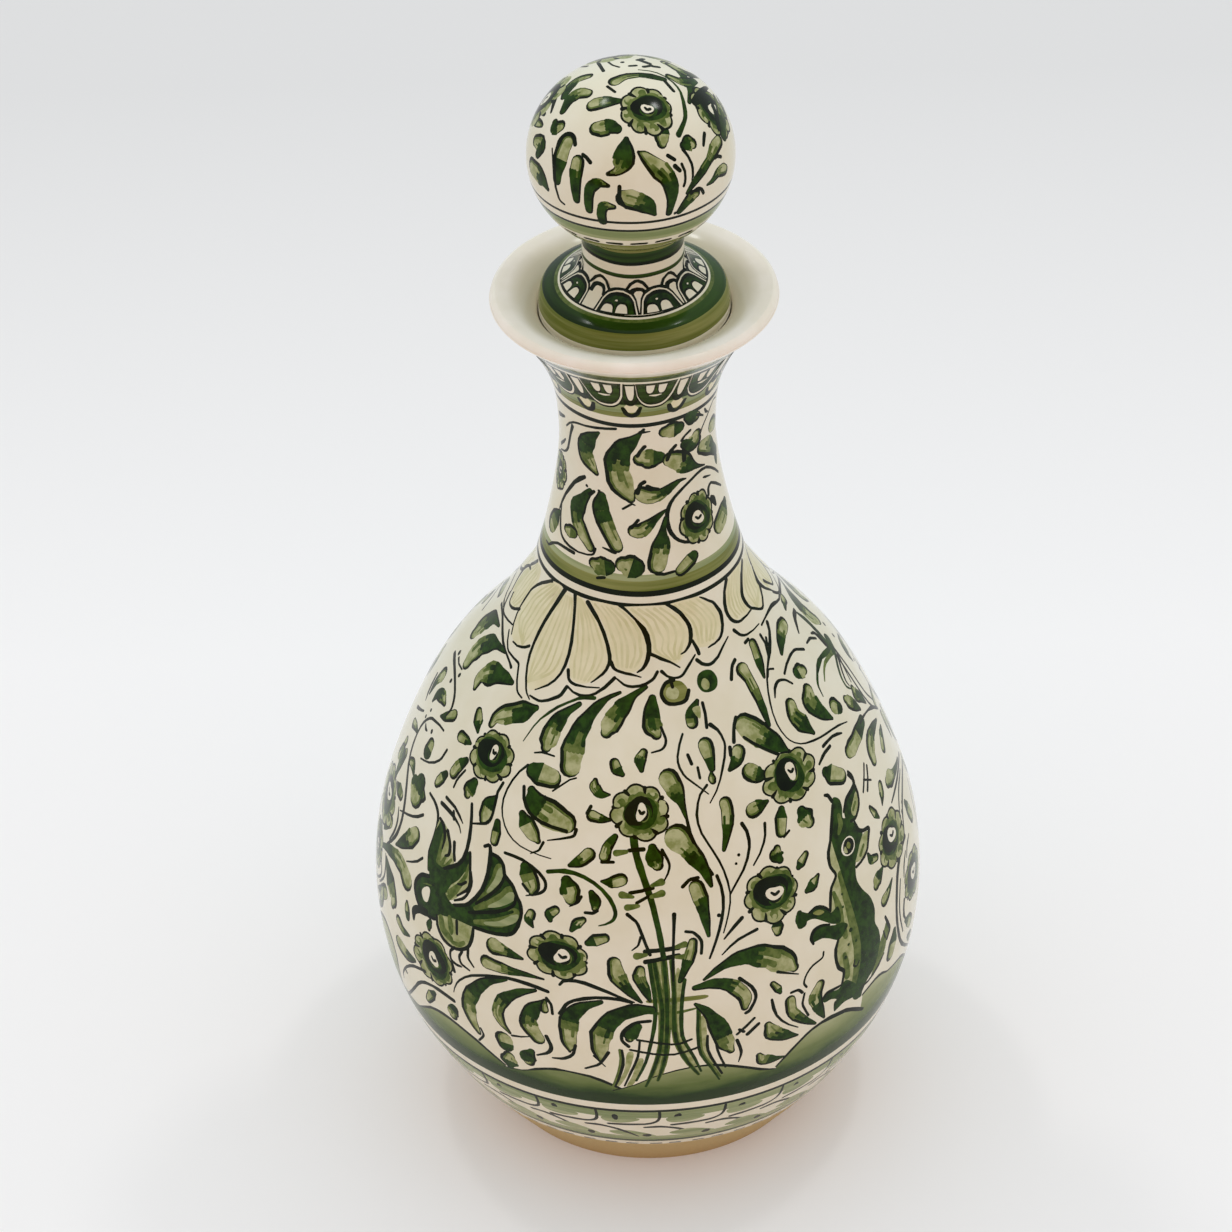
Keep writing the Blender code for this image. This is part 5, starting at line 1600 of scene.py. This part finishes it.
# %% Glazes
blotch_range = (0.36, 0.64)
gloss_roughness = 0.14
gloss_ior = 1.5
gloss_level = 0.13
ripple_size, ripple_height, ripple_strength = 2.5 * MM, 0.4 * MM, 0.05


def glazed(name, thin, pooled, blotch, stretch=(1.0, 1.0, 1.0)):
    """A fired glaze from two tones, thin and pooled, in blotches of this size in mm; also its tone's link."""
    material, tree, shader = fresh(name)
    place = object_place(tree)
    cloud = noise(tree, scaled(tree, place, tuple(k / (blotch * MM) for k in stretch)), 1.0, 3.0, 0.6)
    tone = blended(tree, ramped(tree, cloud, *blotch_range), thin, pooled)
    wire(tree, tone, shader.inputs["Base Color"])
    shader.inputs["Roughness"].default_value = gloss_roughness
    shader.inputs["IOR"].default_value = gloss_ior
    shader.inputs["Specular IOR Level"].default_value = gloss_level
    bumped(tree, shader, noise(tree, place, 1.0 / ripple_size, 1.0), ripple_strength, ripple_height)
    return material, tree, shader, tone


wheel_streaks = (0.12, 0.12, 3.0)
glazes = {
    # the white ground, warm where the clay shows through it
    "cream": glazed("cream_tin_glaze", "#E9E2CE", "#E3DBC3", 14.0)[0],
    # the outlines, painted last with a small brush
    "ink": glazed("dark_green_outline", "#101A03", "#070E00", 3.0)[0],
    # the leaves' shaded halves
    "dark": glazed("dark_green_wash", "#274508", "#102300", 2.2)[0],
    # the turn from shade to light
    "mid": glazed("olive_green_wash", "#68743A", "#42551A", 2.0)[0],
    # the leaves' pale bulbs
    "light": glazed("pale_green_wash", "#B2B286", "#868C54", 2.2)[0],
    # the collar's petals, drawn out from the neck
    "petal": glazed("ochre_wash", "#E4DBBA", "#DCD2AC", 5.0)[0],
    # the streaks that the brush leaves in them
    "straw": glazed("ochre_brush_streak", "#D9D1AA", "#CDC598", 4.0)[0],
    # olive bands, drawn while the wheel turns
    "olive": glazed("olive_band", "#8C8D52", "#636B28", 5.0, wheel_streaks)[0],
    # pale green grounds in the borders
    "pale": glazed("thin_green_band", "#A0A67A", "#7E8B5C", 5.0, wheel_streaks)[0],
    # the copper-rich bands
    "deep": glazed("deep_green_band", "#2F4A12", "#182A04", 5.0, wheel_streaks)[0],
    # inside: a darker cream than the outside, painted shade for the hollow of the throat and body
    "inside": glazed("inside_glaze_painted_shade", "#DCD5BE", "#D0C8AA", 12.0)[0],
}

# the rim and the dish: a whiter cream than the wall, painted light on the lip; darker and warmer
# inward, painted shade where the dish goes down to the throat
dish_outer, dish_inner = 27.5 * MM, 24.5 * MM
glazes["rim"], tree, shader, rim_painted_light_tone = glazed("rim_glaze_painted_light_and_shade", "#F8EEE2", "#F1E7D7", 12.0)
level = add(tree, "ShaderNodeVectorMath", {0: object_place(tree), 1: (1.0, 1.0, 0.0)}, operation="MULTIPLY")
radius = add(tree, "ShaderNodeVectorMath", {0: (level, "Vector")}, operation="LENGTH")
# painted shade: the dish darkens and warms towards the throat
dish_shade = ramped(tree, (radius, "Value"), dish_outer, dish_inner)
wire(tree, blended(tree, dish_shade, rim_painted_light_tone, "#E1D6C0"), shader.inputs["Base Color"])

# the bare foot and spigot
clay_grain, clay_relief = 0.6 * MM, 0.1 * MM
glazes["clay"], tree, shader = fresh("buff_earthenware")
grain = noise(tree, object_place(tree), 1.0 / clay_grain, 4.0)
wire(tree, blended(tree, grain, "#C2A875", "#B09562"), shader.inputs["Base Color"])
bumped(tree, shader, grain, 0.3, clay_relief)
shader.inputs["Roughness"].default_value = 0.85

# the hills, darker towards their foot, with level streaks
hills_top, hills_foot = 51.0 * MM, 37.0 * MM
streak_scale, streak_share = (90.0, 90.0, 320.0), 0.34
glazes["hill"], tree, shader, _ = glazed("hill_green_wash", "#FFFFFF", "#FFFFFF", 3.0)
place = object_place(tree)
depth = ramped(tree, coordinate(tree, place, "Z"), hills_top, hills_foot)
streaks = noise(tree, scaled(tree, place, streak_scale), 1.0, 4.0)
shade = add(tree, "ShaderNodeMath", {0: streaks, 1: streak_share, 2: depth}, operation="MULTIPLY_ADD")
ramp = add(tree, "ShaderNodeValToRGB", {"Fac": (shade, "Value")})
hill_tones = [(0.12, "#ABAE85"), (0.45, "#878F5E"), (0.74, "#5F6E38"), (0.92, "#2E4414"), (1.0, "#20330A")]
for position, colour in hill_tones[1:-1]:
    ramp.color_ramp.elements.new(position)
for stop, (position, colour) in zip(ramp.color_ramp.elements, hill_tones):
    stop.position = position
    stop.color = linear(colour)
wire(tree, (ramp, "Color"), shader.inputs["Base Color"])
print(len(glazes), "glazes and clays")

# %% [markdown]
# The vessel is thrown hollow on a wheel, so its inside follows its outside at the wall's thickness. The
# painted stretch runs from under the lip to the foot; the lip, the dish, the throat, the inside and the
# foot are plain rings. A screw modifier could turn the plain parts, but then they wouldn't share their
# corners with the inlay.

# %% Vessel
vessel_bands = [
    (2.8, "cream"), (4.4, "olive"), (7.1, "deep"), (8.6, "cream"), (17.7, "deep"), (20.6, "pale"),
    (22.2, "olive"),
    (24.3, "cream"), (25.5, "ink"), (62.5, "cream"), (64.0, "pale"), (66.3, "olive"), (67.6, "ink"),
    (69.1, "cream"),
    (70.1, "ink"), (188.6, "cream"), (193.7, "hill"), (196.3, "cream"), (197.4, "ink"), (200.5, "pale"),
    (212.3, "cream"), (215.2, "pale"), (216.6, "deep"), (219.3, "cream"), (300.0, "clay"),
]
painted_from = 1.0
painted_to = 222.0
inside_from = -60.0
vessel_around, stopper_around = 144, 120


def vessel_plain(along):
    """The slot of a plain stretch: a darker glaze inside as painted shade, a whiter one over the lip as
    painted light, bare clay under the foot.
    """
    if along > painted_to:
        return "clay"
    return "inside" if along < inside_from else "rim"


vessel_mesh = TurnedMesh(body, vessel_around)
upper_ring, lower_ring = vessel_mesh.inlay(painted_from, painted_to, vessel_bands)
above = vessel_profile.rings(vessel_profile.s[0], painted_from)
vessel_mesh.turned(above, [vessel_mesh.ring(s) for s in above[:-1]] + [upper_ring], vessel_plain)
below = vessel_profile.rings(painted_to, vessel_profile.s[-1])
vessel_mesh.turned(below, [lower_ring] + [vessel_mesh.ring(s) for s in below[1:]], vessel_plain)
vessel = vessel_mesh.build("painted_vessel", glazes)
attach(vessel, "vessel")
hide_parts("carafe_body")

# %% [markdown]
# The stopper is thrown in one piece too: a hollow ball, its short neck, the flange that lies in the mouth
# and a spigot that is left bare, because glaze would make it stick in the kiln.

# %% Stopper
stopper_bands = [
    (36.8, "cream"), (37.5, "ink"), (39.3, "cream"), (40.0, "ink"), (43.5, "pale"), (46.0, "cream"),
    (55.5, "olive"), (57.8, "deep"), (58.6, "ink"), (60.7, "cream"), (61.7, "deep"), (70.0, "cream"),
    (70.5, "ink"), (71.0, "cream"), (71.9, "mid"), (74.7, "deep"), (78.7, "olive"), (200.0, "cream"),
]
spigot_from = 86.0
head_to = 79.6

stopper_mesh = TurnedMesh(head, stopper_around)
_, lower_ring = stopper_mesh.inlay(0.0, head_to, stopper_bands)
below = stopper_profile.rings(head_to, stopper_profile.s[-1])
stopper_mesh.turned(below, [lower_ring] + [stopper_mesh.ring(s) for s in below[1:]],
                    lambda along: "cream" if along < spigot_from else "clay")
stopper = stopper_mesh.build("painted_stopper", glazes)
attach(stopper, "stopper_unit")
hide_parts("stopper")

# %% [markdown]
# The cork sleeve is bored and turned from a natural cork: a slow cone that jams in the throat. A cylinder
# tapered by hand would do, but a cone primitive already has both radii; the bore is cut out of it and its
# rims are eased.

# %% Cork sleeve
cork_low, cork_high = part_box("cork_sleeve")
cork_wide, cork_narrow, cork_bore = 13.95 * MM, 12.35 * MM, 8.15 * MM
cork_length = cork_high[2] - cork_low[2]
cork_around = 96
cork_middle = (0, 0, (cork_low[2] + cork_high[2]) / 2)
bpy.ops.object.select_all(action="DESELECT")
bpy.ops.mesh.primitive_cone_add(vertices=cork_around, radius1=cork_narrow, radius2=cork_wide,
                                depth=cork_length, location=cork_middle)
cork = bpy.context.object
cork.name = "bored_cork_sleeve"
bpy.ops.mesh.primitive_cylinder_add(vertices=cork_around, radius=cork_bore, depth=cork_length * 1.5,
                                    location=cork_middle)
drill = bpy.context.object
bore = cork.modifiers.new("bore", "BOOLEAN")
bore.object = drill
bore.solver = "EXACT"
ease = cork.modifiers.new("eased_rims", "BEVEL")
ease.width = 0.25 * MM
ease.segments = 2
ease.limit_method = "ANGLE"
bpy.ops.object.select_all(action="DESELECT")
bpy.context.view_layer.objects.active = cork
cork.select_set(True)
bpy.ops.object.modifier_apply(modifier="bore")
bpy.ops.object.modifier_apply(modifier="eased_rims")
bpy.ops.object.transform_apply(location=True, rotation=True, scale=True)
bpy.ops.object.shade_smooth_by_angle(angle=math.radians(40))
bpy.data.objects.remove(drill)

cell_size, cell_relief = 1.2 * MM, 0.2 * MM
pit_scale, pit_range = (260.0, 260.0, 700.0), (0.66, 0.72)
cork_material, tree, shader = fresh("natural_cork")
place = object_place(tree)
cells = noise(tree, place, 1.0 / cell_size, 5.0)
pits = ramped(tree, noise(tree, scaled(tree, place, pit_scale), 1.0, 1.0), *pit_range)
tone = blended(tree, cells, "#C79A66", "#A87C4C")
wire(tree, blended(tree, pits, tone, "#5A3B20"), shader.inputs["Base Color"])
bumped(tree, shader, cells, 0.5, cell_relief)
shader.inputs["Roughness"].default_value = 0.9
cork.data.materials.clear()
cork.data.materials.append(cork_material)
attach(cork, "stopper_unit")
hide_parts("cork_sleeve")
print("cork", round(cork_length / MM, 1), "mm long")
